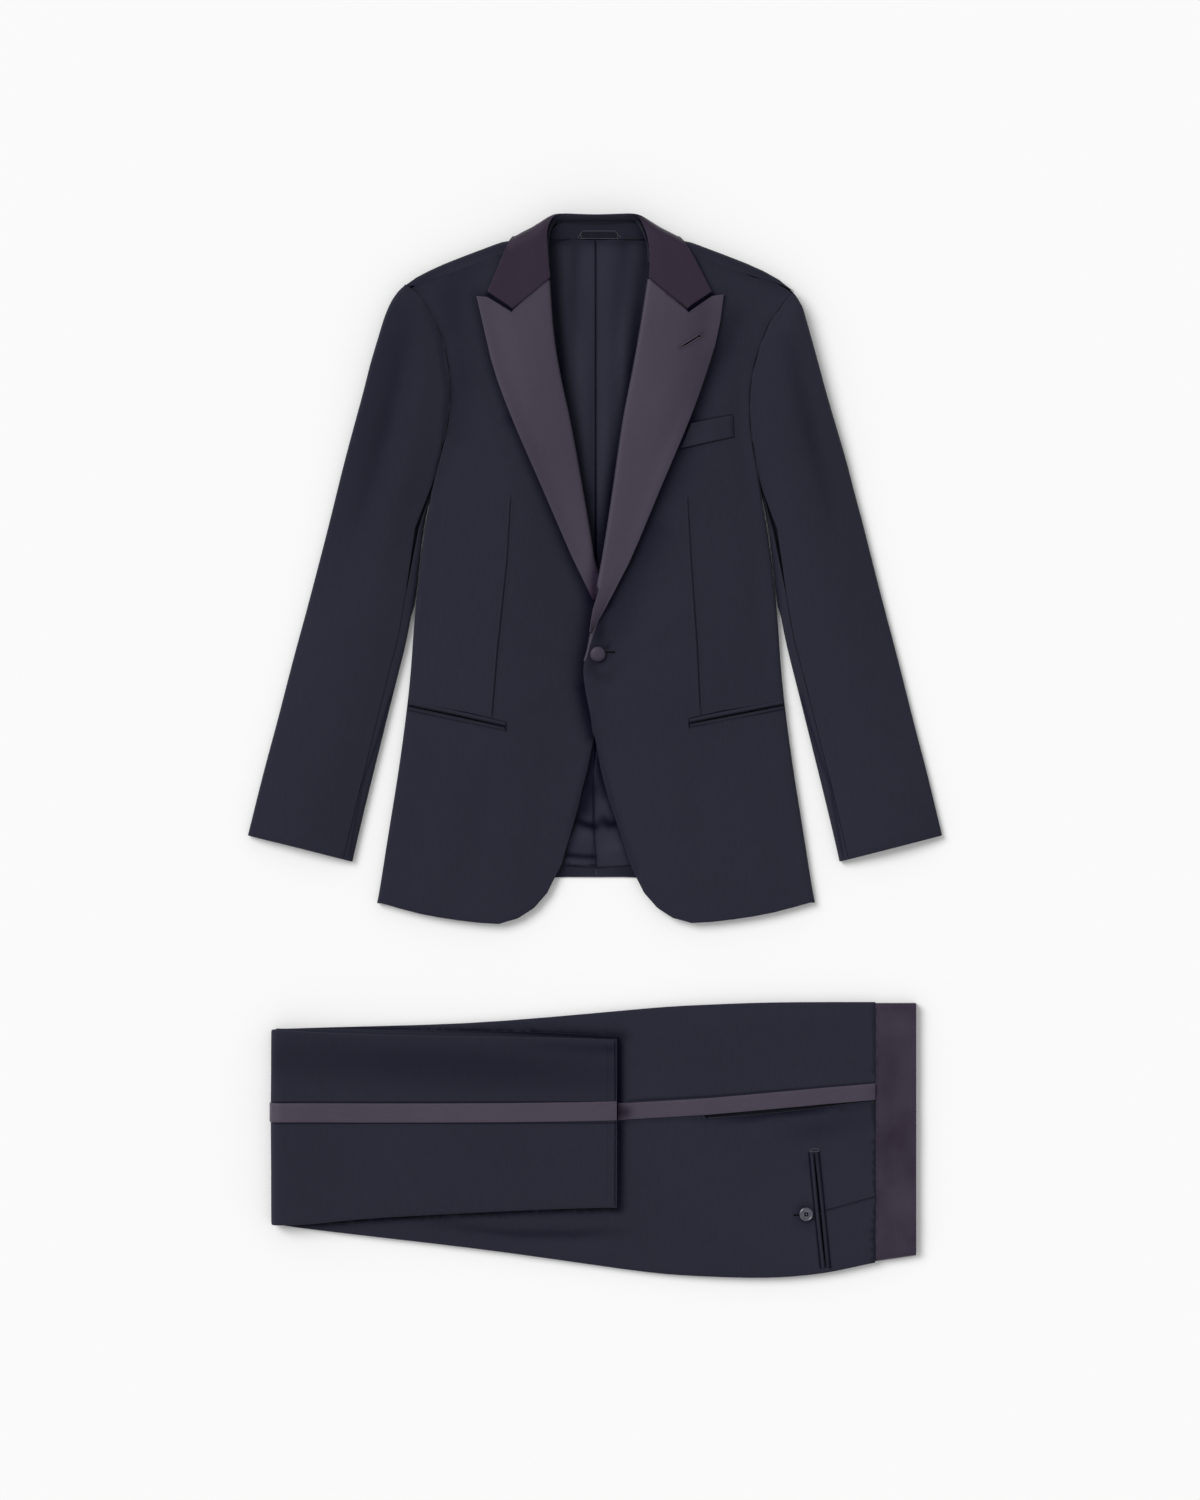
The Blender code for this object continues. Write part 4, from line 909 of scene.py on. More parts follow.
lining = {
    "cell": 6.0,
    # folds of the loose lining, seen in the neck and between the fronts
    "foldsLeft": (
        (((11, 745), (14, 560), (9, 420), (8, 320)), 8, (0.4, 1.1, 0.7)),
        (((24, 742), (24, 600), (18, 460)), 6, (-0.2, -0.6, -0.3)),
        (((34, 740), (33, 600), (24, 470)), 8, (0.4, 0.9, 0.4)),
        (((49, 720), (46, 610), (35, 500)), 7, (-0.6, -1.6, -0.8)),
        (((0, 72), (12, 78), (24, 82), (60, 88)), 10, (1.2, 2.2, 1.4)),
        (((12, 114), (18, 109), (34, 112)), 5.5, (-0.5, -0.7, -0.4)),
        (((2, 146), (16, 136), (44, 142)), 11, (0.8, 1.8, 0.6)),
        (((2, 190), (6, 164), (10, 140)), 5, (-0.2, -0.4, -0.3)),
    ),
    "foldsRight": (
        (((-12, 745), (-15, 560), (-10, 420), (-8, 330)), 8, (0.4, 1.0, 0.7)),
        (((-24, 742), (-25, 610), (-16, 470)), 6, (-0.3, -0.7, -0.3)),
        (((-35, 735), (-33, 620), (-23, 480)), 8, (0.4, 0.9, 0.4)),
        (((-48, 720), (-44, 620), (-34, 500)), 7, (-0.6, -1.6, -0.8)),
        (((-2, 96), (-16, 92), (-60, 96)), 9, (1.4, 2.4, 1.2)),
        (((-1, 109), (-20, 115), (-50, 118)), 5, (-0.7, -0.7, -0.4)),
        (((-4, 77), (-24, 76), (-60, 79)), 4.5, (-0.6, -0.5, -0.3)),
        (((-4, 132), (-16, 136), (-40, 134)), 9, (1.0, 1.6, 0.6)),
        (((-10, 66), (-40, 67)), 4, (0.8, 1.0, 0.4)),
    ),
    "pleatOver": 2.6,  # how far the left half folds over the right one
    "pleatRise": 1.2,
    "seamHalf": 1.1, "seamDepth": 1.3,
    # seen between the fronts, where its folds need finer cloth
    "fine": [((-36, 117), (-1, 108)), ((-36, 77), (0, 75)), ((8, 116), (30, 113)), ((-3, 200), (-12, 150), (-34, 80)),
        ((-1, 200), (8, 150), (34, 82))],
    # painted shade: dark bands along the lapels' rolls, the centre seam, under the facing and in the folds between the
    # fronts
    "hollows": (
        (((56, 746), (51, 690), (38, 601), (18, 480), (6, 402)), 9, (0.6, 0.75, 0.85, 0.95, 1)),
        (((-52, 746), (-48, 690), (-38, 601), (-16, 480), (-2, 402)), 9, (0.75, 0.85, 0.8, 0.85, 1)),
        (((-52, 754), (0, 753), (57, 754)), 6, (0.7, 0.4, 0.6)),
        (((-22, 742), (-24, 690), (-20, 620)), 7, (0.4, 0.3, 0.0)),
        (((30, 748), (26, 700), (22, 640)), 8, (0.4, 0.3, 0.0)),
        (((-10, 470), (0, 400)), 10, (0.3, 0.9)),
        (((0.3, 752), (0.3, 560), (0.3, 420)), 1.3, (0.85, 0.85, 0.85)),
        (((-4, 640), (-5, 560), (-4, 470)), 4, (0.1, 0.25, 0.3)),
        (((-2, 206), (-5, 180), (-9, 155), (-12, 132)), 8, (1, 0.9, 0.75, 0.55)),
        (((0, 206), (5, 180), (10, 158)), 5, (1, 0.6, 0.4)),
        (((-3, 204), (-10.8, 159), (-21, 120), (-34, 80), (-42, 60)), 6, (1, 0.95, 0.9, 0.8, 0.6)),
        (((-2, 204), (7, 159), (18.4, 130), (30, 96), (42, 62)), 5, (1, 0.85, 0.9, 0.8, 0.6)),
        (((-1.5, 108.5), (-12, 111), (-21, 115), (-34, 117)), 5.0, (1, 1, 1, 1)),
        (((9, 116), (16, 111), (28, 113)), 6, (0.7, 1, 1)),
        (((2, 112), (12, 111)), 4, (0.4, 0.7)),
        (((-3, 150), (-10, 140), (-14, 126)), 9, (0.6, 0.5, 0.6)),
        (((2, 138), (9, 142), (14, 150)), 6, (0.0, 0.4, 0.5)),
        (((-2, 75.5), (-14, 75.5), (-32, 77.5)), 3.2, (0.85, 0.85, 0.9)),
        (((-46, 64.6), (-20, 65.6), (-1, 65.8)), 1.3, (0.8, 0.8, 0.8)),
        (((1, 62.5), (20, 63.4), (48, 66.5)), 1.2, (0.6, 0.5, 0.7)),
        (((-2.6, 164), (-2.4, 107), (0.2, 61.5)), 1.5, (0.8, 0.85, 0.8)),
    ),
}


def makeLinings():
    for word, sign in (("left", 1), ("right", -1)):
        piece = softened("back_lining_" + word, "liningSilk" + word.capitalize(), 2)
        evenOut(piece, lining["cell"])
        refine(piece, jacketAt, [((0, 60), (0, 756))], 4, 1.6, False)
        refine(piece, jacketAt, lining["fine"], 4, 2.0)

        def rule(x, y, z, sign=sign):
            rise = softFolds(x, y, lining["folds" + ("Left" if sign > 0 else "Right")])
            hidden = easeTo((sign * x - 60) / 30)
            low = easeTo((200 - y) / 60)
            near = np.exp(-((x / 5.0) ** 2))
            sunk = lining["seamDepth"] * np.exp(-((x / lining["seamHalf"]) ** 2)) * (1 - low)
            if sign > 0:
                over = near * (0.6 + lining["pleatOver"] * low)
                return (-over, 0, (rise + lining["pleatRise"] * near * (0.35 + 0.65 * low)) * (1 - hidden) - sunk)
            return (0, 0, (rise - 0.8 * near * low) * (1 - hidden) - sunk)

        movePoints(piece, jacketAt, rule)
        paintShade(piece, jacketAt, lining["hollows"])
        finished(piece, "bodyLining", ["back_lining_" + word], 0.3)


sleeves = {
    "levels": 2, "edge": 0.7, "keepBelow": 3.0, "fullAbove": 8.0,
    "folds": (
        (((210, 640), (234, 540), (262, 440)), 12, (-1.0, -2.2, -1.2)),
        (((190, 570), (216, 470), (240, 380)), 13, (0.8, 1.6, 0.6)),
        (((240, 400), (284, 372), (316, 350)), 10, (-0.2, -0.6, -0.1)),
        (((232, 350), (274, 334), (310, 300)), 12, (0.6, 0.4, 0.0)),
        (((262, 280), (292, 180), (316, 110)), 22, (0.2, 0.8, 0.5)),
        (((318, 300), (340, 210), (362, 120)), 12, (-0.2, -0.5, -0.2)),
        (((190, 640), (186, 600), (196, 560)), 8, (0.2, 0.8, 0.4)),
    ),
    "leftShare": 0.55,  # the wearer's left sleeve lies smoother
    "cuffOut": 2.2,  # the wearer's right cuff lies a little further out
    # painted shade: in a crease, along the armhole and the body's side, and along the fore seam
    "hollows": (
        (((212, 640), (234, 540), (258, 450)), 10, (0.15, 0.3, 0.1)),
        (((190, 683), (172, 643), (163, 588), (168, 530), (182, 470), (194, 400), (201, 345)), 3.5,
            (0.1, 0.35, 0.4, 0.4, 0.5, 0.6, 0.6)),
        (((226, 252), (238, 210), (257, 155), (272, 73)), 1.6, (0.5, 0.5, 0.5, 0.4)),
    ),
    # painted shade all along its outer side
    "hollowsRight": ((((224, 664), (254, 560), (288, 440), (320, 330)), 34, (0.3, 0.25, 0.15, 0.0)),),
    "seamAbove": 5,
    "foreSeam": (((226, 252), (238, 210), (257, 155), (272, 73)), 0.8, 0.9),
}


def rightCuff(x, y, z):
    low = np.clip((430 - y) / 330, 0, 1)
    middle = 243 + 85 * low
    return -sleeves["cuffOut"] * low * easeTo((-x - middle) / 40), 0, 0


def mirrored(rows, sign):
    # rows that start with a line, for a side seen as positive x
    return [([(sign * x, y) for x, y in row[0]], *row[1:]) for row in rows]


def makeSleeves():
    for word, sign in (("left", 1), ("right", -1)):
        for half in ("top", "under"):
            node = "sleeve_" + word + "_" + half
            piece = softened(node, "sleeveCloth" + word.capitalize() + half.capitalize(), sleeves["levels"])

            def rule(x, y, z, sign=sign):
                rise = softFolds(sign * x, y, sleeves["folds"])
                share = easeTo((z - sleeves["keepBelow"]) / (sleeves["fullAbove"] - sleeves["keepBelow"]))
                return (0, 0, rise * share * (sleeves["leftShare"] if sign > 0 else 1.0))

            fitShoulders(piece)
            movePoints(piece, jacketAt, rule)
            if word == "right":
                movePoints(piece, jacketAt, rightCuff)
            side = [(sign * x, y) for x, y in armholes["sides"]]
            drawnTo(piece, jacketAt, side, armholes["sideReach"], armholes["sidePull"], 0)
            if half == "top":
                sewArmhole(piece, word)
                sinkSeams(piece, jacketAt, mirrored([sleeves["foreSeam"]], sign), sleeves["seamAbove"])
            else:
                drawArmhole(piece, word)
            shades = sleeves["hollows"] + (sleeves["hollowsRight"] if word == "right" else ())
            paintShade(piece, jacketAt, mirrored(shades, sign))
            finished(piece, "darkWool", [node], sleeves["edge"])


lapels = {
    "levels": 3, "edge": 0.8,
    "outerLeft": ((140, 693), (134, 650), (122, 609), (103, 556), (70, 478), (38, 402), (14, 356)),
    "outerRight": ((-131, 691), (-124, 660), (-112, 610), (-92, 556), (-58, 478), (-25, 402), (-14, 380)),
    "rollLeft": ((56, 709), (38, 601), (18, 480), (6, 402), (-2, 362)),
    "rollRight": ((-50, 709), (-38, 601), (-14, 480), (-1, 402)),
    "springLeft": (0.7, 1.6, 2.0, 2.2, 1.4),  # how far the outer edge stands off, from the peak down
    "springRight": (0.8, 2.2, 2.6, 2.4, 1.0),
    "springHalf": 10,
    "fullLeft": 1.2, "fullRight": 0.5, "fullHalf": 26,  # how far the roll stands up, and how wide
    "gorgeLeft": ((57, 710), (79, 692), (101.5, 674.4)),
    "gorgeRight": ((-50, 709.4), (-71, 692), (-92.6, 674.4)),
    "area": {"left": 0.023, "right": 0.019},
    # the satin beside the button: up the cloth, then its two edges
    "runout": (
        (334, -5.4, 3.0), (328, -5.9, 0.6), (322, -6.3, -1.8), (316, -7.3, -3.7), (309, -8.6, -5.9),
        (302, -10.3, -7.7), (297, -11.6, -9.0), (293, -12.7, -10.3), (290.5, -13.2, -11.9),
    ),
    "endFrom": 404, "endOld": 382, "endNew": 358, "endLean": 0.478,  # where the lapel beneath runs out to its point
    "taperFrom": 352, "taperOver": 30, "taper": 2.2, "thin": 0.9,  # the end of the one above
    # painted shade: in the gorge and notch, under the roll, and beside the buttonhole
    "hollowsLeft": (
        (((78, 692), (101.5, 674.2)), 1.6, (0.7, 0.8)),
        (((57, 710), (78, 692)), 1.0, (0.6, 0.7)),
        (((101.5, 674.2), (126, 692)), 2.2, (0.7, 0.6)),
        (((10, 372), (-2, 330)), 6, (0.05, 0.25)),
        (((3, 404), (-1, 384), (-4, 362)), 3, (0.3, 0.4, 0.2)),
        (((120, 672), (112, 610), (82, 510)), 15, (0.25, 0.2, 0.0)),
        (((92.5, 633.6), (116, 648.4)), 3.0, (0.45, 0.5)),
    ),
    # painted shade: in the gorge and notch, and down the point that goes under the other lapel
    "hollowsRight": (
        (((-50, 709.4), (-71, 692), (-92.6, 674.2)), 1.2, (0.6, 0.7, 0.8)),
        (((-92.6, 674.2), (-118, 692)), 2.2, (0.7, 0.6)),
        (((5, 414), (-1, 380), (-3, 356)), 8, (0.9, 0.95, 1)),
    ),
}


def lapelSpring(x, y, word):
    side = word.capitalize()
    apart, place = alongPath(x, y, lapels["outer" + side])
    height = np.interp(place, (0, 0.25, 0.5, 0.75, 1), lapels["spring" + side])
    inner, _ = alongPath(x, y, lapels["roll" + side])
    full = lapels["full" + side] * np.exp(-((inner / lapels["fullHalf"]) ** 2)) * easeTo((712 - y) / 60)
    return height * np.exp(-((apart / lapels["springHalf"]) ** 2)) + full


def pointedEnd(x, y, z):
    # the lapel underneath runs out to a point below the one that buttons over it
    share = np.clip((lapels["endFrom"] - y) / (lapels["endFrom"] - lapels["endOld"]), 0, 1)
    drop = (lapels["endOld"] - lapels["endNew"]) * share
    under = easeTo((x + lapels["endLean"] * drop + 3) / 4) * share
    return lapels["endLean"] * drop, -drop, -0.4 * share - 2.0 * under


def taperedEnd(x, y, z):
    share = easeTo((lapels["taperFrom"] - y) / lapels["taperOver"])
    return -lapels["taper"] * share * easeTo((x + 6.5) / 5), 0, -lapels["thin"] * share ** 2


def lapelRunout():
    # below its roll the lapel's satin narrows away along the buttoned edge
    rows = []
    for y, low, high in lapels["runout"]:
        spots = [(low - 0.4 + (high - low + 0.4) * t, t) for t in (0, 0.2, 0.45, 0.75, 1)]
        top = max(heightAt(x * mm, (y + jacketAt[1]) * mm) / mm for x, t in spots)
        rows.append([(x, y, top + 0.5 - 1.3 * (1 - t) ** 4 - 0.4 * t ** 6) for x, t in spots])
    return patch("lapelRunout", rows, 0.5, 1)


def makeLapels():
    for word in ("left", "right"):
        runout = lapelRunout() if word == "left" else None
        piece = softened("lapel_" + word, "lapelSatin" + word.capitalize(), lapels["levels"])
        movePoints(piece, jacketAt, lambda x, y, z, word=word: (0, 0, bodyRise(x, y, z) + lapelSpring(x, y, word)))
        drawnTo(piece, jacketAt, lapels["gorge" + word.capitalize()], 5, 0.9)
        if word == "right":
            movePoints(piece, jacketAt, pointedEnd)
        else:
            followOverEdge(piece)
            movePoints(piece, jacketAt, taperedEnd)
        refine(piece, jacketAt, [lapels["gorge" + word.capitalize()]], 3, 1.2)
        if runout:
            piece = joined([piece, runout], piece.name)
        paintShade(piece, jacketAt, lapels["hollows" + word.capitalize()])
        finished(piece, "lapelSatin", ["lapel_" + word], lapels["edge"])


neck = {
    "levels": 2, "edge": 0.5, "collarSpring": 1.2,
    # painted shade inside the neck: at the collar's ends, under the label and along the stand's seam
    "insidePaintedShades": (
        (((58, 755), (55, 768), (47, 780)), 9, (0.95, 0.9, 0.7)),
        (((-52, 755), (-49, 768), (-43, 780)), 5, (0.8, 0.7, 0.5)),
        (((-18, 754.6), (4, 754.2), (26, 754.6)), 1.6, (0.9, 0.9, 0.9)),
        (((-46, 773), (0, 773.4), (48, 773)), 1.2, (0.6, 0.5, 0.6)),
    ),
    # painted shade along the gorge seams
    "hollows": (
        (((57, 710.6), (79, 692.6), (101.5, 675)), 1.2, (0.7, 0.7, 0.8)),
        (((-50, 710), (-71, 692.6), (-92.6, 675)), 1.2, (0.7, 0.7, 0.8)),
    ),
    # where the collar's even form lies once it is pressed, for positive x; both sides alike
    "collarFit": (
        ((0, 784.4), (0, 781.8)), ((30, 785), (30, 782.8)), ((50, 782.2), (50, 780.4)), ((60, 778), (60, 774.4)),
        ((70, 772.6), (70, 768.4)), ((85, 761.8), (85, 760.7)), ((95, 755), (95, 755.2)), ((52, 745), (52, 745)),
        ((58, 711), (58, 711)), ((100, 676), (100, 676)), ((115, 700), (115, 700)), ((46, 775), (47, 775)),
        ((106, 728), (106, 728)), ((30, 772), (30, 772)), ((0, 772), (0, 772)),
    ),
    # the wool inside the neck: across, then its lower and upper edges and their heights
    "facing": (
        (-51.5, 754.2, 757.6, 9.0, 13.0), (-47.5, 754.4, 765.4, 7.6, 15.5), (-42, 754.5, 770.6, 7.0, 16.5),
        (-32, 754.6, 772.4, 6.6, 16.5), (-16, 754.8, 772.6, 6.4, 16.5), (0, 754.8, 772.6, 6.4, 16.5), (16, 754.8, 772.6,
            6.4, 16.5),
        (34, 754.6, 772.4, 6.6, 16.5), (46, 754.5, 770.6, 7.0, 16.5), (52.5, 754.4, 765.4, 7.6, 15.5), (57.5, 754.2,
            757.6, 9.0, 13.0),
    ),
    # the stand above it, over the collar's roll: half width at each row, how far up, and the height
    "stand": ((51, 771.6, 16.8), (50, 774.2, 20.5), (48.5, 776.6, 24.2), (46, 778.8, 26.6), (43.5, 780.3, 26.8),
        (42.5, 781.0, 25.4), (42.5, 781.2, 22.5)),
    "standAcross": (-1, -0.86, -0.6, -0.3, 0, 0.3, 0.6, 0.86, 1),
    "standCurve": ((0, -1.4), (0.6, -0.5), (0.86, 0.1), (1, -1.2)),  # how the rows bend from the middle to the sides
    "label": ((-20, 755.4), (28, 755.4), (21, 763), (-15, 763)),
    "labelFolds": (((-15.5, 755.9), (-17.4, 759.2)), ((23.4, 755.9), (24.6, 759.2))),
}


def bentNeck(x, y, z):
    goX, goY = bent(np.abs(x), y, neck["collarFit"])
    return np.sign(x) * goX * easeTo(np.abs(x) / 12), goY, 0


def patch(name, rows, thick, levels):
    # a thin closed cloth through rows of points, in the jacket's own millimetres
    mesh = bmesh.new()
    sides = []
    for drop in (0, thick):
        sides.append([[mesh.verts.new(((x + jacketAt[0]) * mm, (y + jacketAt[1]) * mm, (z - drop) * mm)) for x, y,
            z in row] for row in rows])
    count, across = len(rows), len(rows[0])
    for sheet in sides:
        for i in range(count - 1):
            for j in range(across - 1):
                mesh.faces.new((sheet[i][j], sheet[i][j + 1], sheet[i + 1][j + 1], sheet[i + 1][j]))
    rim = [(i, 0) for i in range(count)] + [(count - 1, j) for j in range(1, across)]
    rim += [(i, across - 1) for i in range(count - 2, -1, -1)] + [(0, j) for j in range(across - 2, 0, -1)]
    for (i, j), (k, l) in zip(rim, rim[1:] + rim[:1]):
        mesh.faces.new((sides[0][i][j], sides[0][k][l], sides[1][k][l], sides[1][i][j]))
    return rounded(objectFrom(mesh, name), levels)


def makeNeck():
    collar = softened("collar", "collarSatinFall", neck["levels"])
    movePoints(collar, jacketAt, bentNeck)
    for side in ("Left", "Right"):
        drawnTo(collar, jacketAt, lapels["gorge" + side], 7, 3.0)

    def lifted(x, y, z):
        outer = easeTo((z - 24) / 2) * easeTo((np.abs(x) - 78) / 30)
        return (0, 0, neck["collarSpring"] * outer)

    movePoints(collar, jacketAt, lifted)
    refine(collar, jacketAt, [lapels["gorgeLeft"], lapels["gorgeRight"]], 3, 1.2)
    paintShade(collar, jacketAt, neck["hollows"])
    finished(collar, "collarSatin", ["collar"], neck["edge"])

    stand = softened("collar_stand", "collarStandWool", 2)
    movePoints(stand, jacketAt, bentNeck)
    paintShade(stand, jacketAt, neck["insidePaintedShades"])
    finished(stand, "darkWool", ["collar_stand"], 0.4)

    share, curve = zip(*neck["standCurve"])
    rows = []
    for half, y, z in neck["stand"]:
        row = []
        for across in neck["standAcross"]:
            x = across * half * (1.06 if across > 0 else 1.0)
            row.append((x, y + float(np.interp(abs(across), share, curve)), z - 1.2 * abs(across) ** 4))
        rows.append(row)
    roll = patch("collarStandRoll", rows, 1.0, 2)
    paintShade(roll, jacketAt, neck["insidePaintedShades"])
    finished(roll, "darkWool", (), 0.25)

    rows = [[(x, low + (high - low) * t, foot + (top - foot) * t) for x, low, high, foot,
        top in neck["facing"]] for t in (0, 0.33, 0.66, 1)]
    facing = patch("neckFacingWool", rows, 1.6, 2)
    paintShade(facing, jacketAt, neck["insidePaintedShades"])
    finished(facing, "darkWool", ["neck_facing"], 0.3)

    (ax, ay), (bx, by), (cx, cy), (dx, dy) = neck["label"]
    rows = []
    for t in np.linspace(0, 1, 7):
        row = []
        for u in np.linspace(0, 1, 15):
            x = (ax + (bx - ax) * u) * (1 - t) + (dx + (cx - dx) * u) * t
            y = ay + (dy - ay) * t
            row.append((x, y, 7.4 + 0.567 * (y - 754.8) - 0.3 * abs(2 * u - 1) ** 3))
        rows.append(row)
    label = patch("neckLabelBare", rows, 0.5, 1)
    finished(label, "labelSatin", ["neck_label"], 0.1)
    thread = threadAlong("neckLabelEdge", jacketAt, [*neck["label"], neck["label"][0]], 0.34, 0.05)
    folds = [threadAlong("neckLabelFold", jacketAt, fold, 0.30, 0.05) for fold in neck["labelFolds"]]
    finished(joined([thread, *folds], "neckLabelEdge"), "labelThread")


# Small sewn things

def stitchedHole(name, at, start, end, size):
    # a worked buttonhole: close stitches laid over both lips of a slit, and round its eye
    a, b = Vector(start), Vector(end)
    run = (b - a).normalized()
    side = Vector((-run.y, run.x))
    spots = []
    count = int((b - a).length / size["pitch"])
    for k in range(count):
        for hand in (-1, 1):
            spots.append((a + run * size["pitch"] * k + side * hand * size["lip"], side * hand))
    for k in range(size["eyeStitches"]):
        turn = math.pi * (k / (size["eyeStitches"] - 1) - 0.5)
        out = run * math.cos(turn) + side * math.sin(turn)
        spots.append((b + out * size["lip"] * size["eye"], out))
    made = []
    for spot, out in spots:
        x, y = (at[0] + spot.x) * mm, (at[1] + spot.y) * mm
        bpy.ops.mesh.primitive_uv_sphere_add(
            segments=6, ring_count=5, radius=size["thread"] * mm,
            location=(x, y, heightAt(x, y) + 0.2 * size["thread"] * mm),
            rotation=(0, 0, math.atan2(out.y, out.x)),
        )
        bpy.context.object.scale = (size["reach"] / size["thread"], 1, 0.8)
        made.append(bpy.context.object)
    return joined(made, name)


def slit(name, at, start, end, width, rise):
    # painted shade in the opening between the lips: a narrow dark leaf, pointed at its ends
    a, b = Vector(start), Vector(end)
    middle = (a + b) / 2
    x, y = (at[0] + middle.x) * mm, (at[1] + middle.y) * mm
    run = b - a
    bpy.ops.mesh.primitive_circle_add(
        vertices=20, radius=run.length / 2 * mm, fill_type="NGON",
        location=(x, y, heightAt(x, y) + rise * mm), rotation=(0, 0, math.atan2(run.y, run.x)),
    )
    piece = bpy.context.object
    piece.scale.y = width / run.length
    bpy.ops.object.mode_set(mode="EDIT")
    bpy.ops.mesh.extrude_region_move(TRANSFORM_OT_translate={"value": (0, 0, 0.12 * mm)})
    bpy.ops.mesh.select_all(action="SELECT")
    bpy.ops.mesh.normals_make_consistent(inside=False)
    bpy.ops.object.mode_set(mode="OBJECT")
    return joined([piece], name)


def pocketShade(name, at, start, end, width):
    # painted shade between two jets: a long dark leaf that follows the cloth
    a, b = Vector(start), Vector(end)
    side = (b - a).normalized()
    side = Vector((-side.y, side.x))
    rows = []
    for t in np.linspace(0.005, 0.995, 41):
        spot = a + (b - a) * t
        half = width / 2 * (0.25 + 0.75 * math.sin(math.pi * t) ** 0.6)
        x, y = at[0] + spot.x, at[1] + spot.y
        top = heightAt(x * mm, y * mm) / mm + 0.25
        row = []
        for share in (-1, 0, 1):
            out = spot + side * half * share
            row.append((out.x + at[0] - jacketAt[0], out.y + at[1] - jacketAt[1], top))
        rows.append(row)
    return patch(name, rows, 0.3, 0)


buttonholes = {
    # stitch pitch, how far a lip lies from the slit, stitch thickness and length; slit and eye sizes
    "lapel": {
        "run": ((94.5, 634.7), (113, 646.4)), "pitch": 0.62, "lip": 1.5, "thread": 0.34, "reach": 0.95,
        "eyeStitches": 9, "eye": 1.2, "slit": 1.3, "eyeHole": 1.3,
    },
    "front": {
        "run": ((10.6, 300.3), (20, 300.3)), "pitch": 0.62, "lip": 1.2, "thread": 0.30, "reach": 0.7,
        "eyeStitches": 7, "eye": 1.0, "slit": 1.7, "eyeHole": 0.9,
    },
    "backPocket": {
        "run": ((580.5, 71.2), (573.5, 71)), "pitch": 0.62, "lip": 1.1, "thread": 0.30, "reach": 0.7,
        "eyeStitches": 7, "eye": 1.0, "slit": 1.5, "eyeHole": 0.9,
    },
}


def makeButtonholes():
    places = (
        ("lapelButtonhole", jacketAt, "lapel", "satinThread", "lapel_satin"),
        ("frontButtonhole", jacketAt, "front", "sewingThread", "wool"),
        ("backPocketButtonhole", trousersAt, "backPocket", "sewingThread", "wool"),
    )
    for name, at, key, thread, slotName in places:
        look = buttonholes[key]
        start, end = look["run"]
        run = (Vector(end) - Vector(start)).normalized() * look["eyeHole"]
        stitches = stitchedHole(name, at, start, end, look)
        leaf = pocketShade(name + "Leaf", at, start, end, look["slit"])
        eye = slit(name + "Eye", at, Vector(end) - run, Vector(end) + run, 2 * look["eyeHole"], 0.25)
        opening = joined([leaf, eye], name + "Slit")
        finished(opening, "openShade")
        finished(stitches, thread)


frontButton = {
    # rings of the covered mould: radius and height over the cloth
    "rings": ((6.2, 0.0), (7.9, 0.5), (8.5, 1.5), (8.45, 2.4), (7.9, 3.4), (6.7, 4.1), (4.6, 4.6), (2.2, 4.85)),
    "rise": 0.2,
    # painted shade: the first band darkens the whole button a little, the second paints shade along its lower rim
    "hollows": (
        (((1, 298), (3, 298)), 40, (0.17, 0.17)),
        (((-5, 291.5), (2, 289.6), (8, 291.5)), 2.4, (0.5, 0.6, 0.5)),
    ),
}


def domed(name, x, y, z, rings, steps):
    bpy.ops.object.select_all(action="DESELECT")
    radius, height = rings[0]
    bpy.ops.mesh.primitive_circle_add(vertices=steps, radius=radius * mm, fill_type="NGON",
        location=(x, y, z + height * mm))
    piece = bpy.context.object
    bpy.ops.object.mode_set(mode="EDIT")
    for ring in rings[1:]:
        grow = ring[0] / radius
        bpy.ops.mesh.extrude_region_move(TRANSFORM_OT_translate={"value": (0, 0, (ring[1] - height) * mm)})
        bpy.ops.transform.resize(value=(grow, grow, 1))
        radius, height = ring
    bpy.ops.mesh.select_all(action="SELECT")
    bpy.ops.mesh.normals_make_consistent(inside=False)
    bpy.ops.object.mode_set(mode="OBJECT")
    return joined([piece], name)


def makeFrontButton():
    low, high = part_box("front_button")
    x, y = (low.x + high.x) / 2, (low.y + high.y) / 2
    piece = domed("frontButtonCovered", x, y, low.z + frontButton["rise"] * mm, frontButton["rings"], 40)
    soft = piece.modifiers.new("soft", "SUBSURF")
    soft.levels = soft.render_levels = 2
    applied(piece)
    paintShade(piece, jacketAt, frontButton["hollows"])
    finished(piece, "lapelSatin", ["front_button"])


backButton = {
    "rings": ((5.0, 0.0), (7.0, 0.6), (7.5, 1.4), (7.3, 2.3), (6.5, 2.8), (5.7, 2.5), (5.2, 1.9), (3.0, 1.7)),
    "holeRadius": 0.95, "holeOut": 1.8, "thread": 0.3,
}


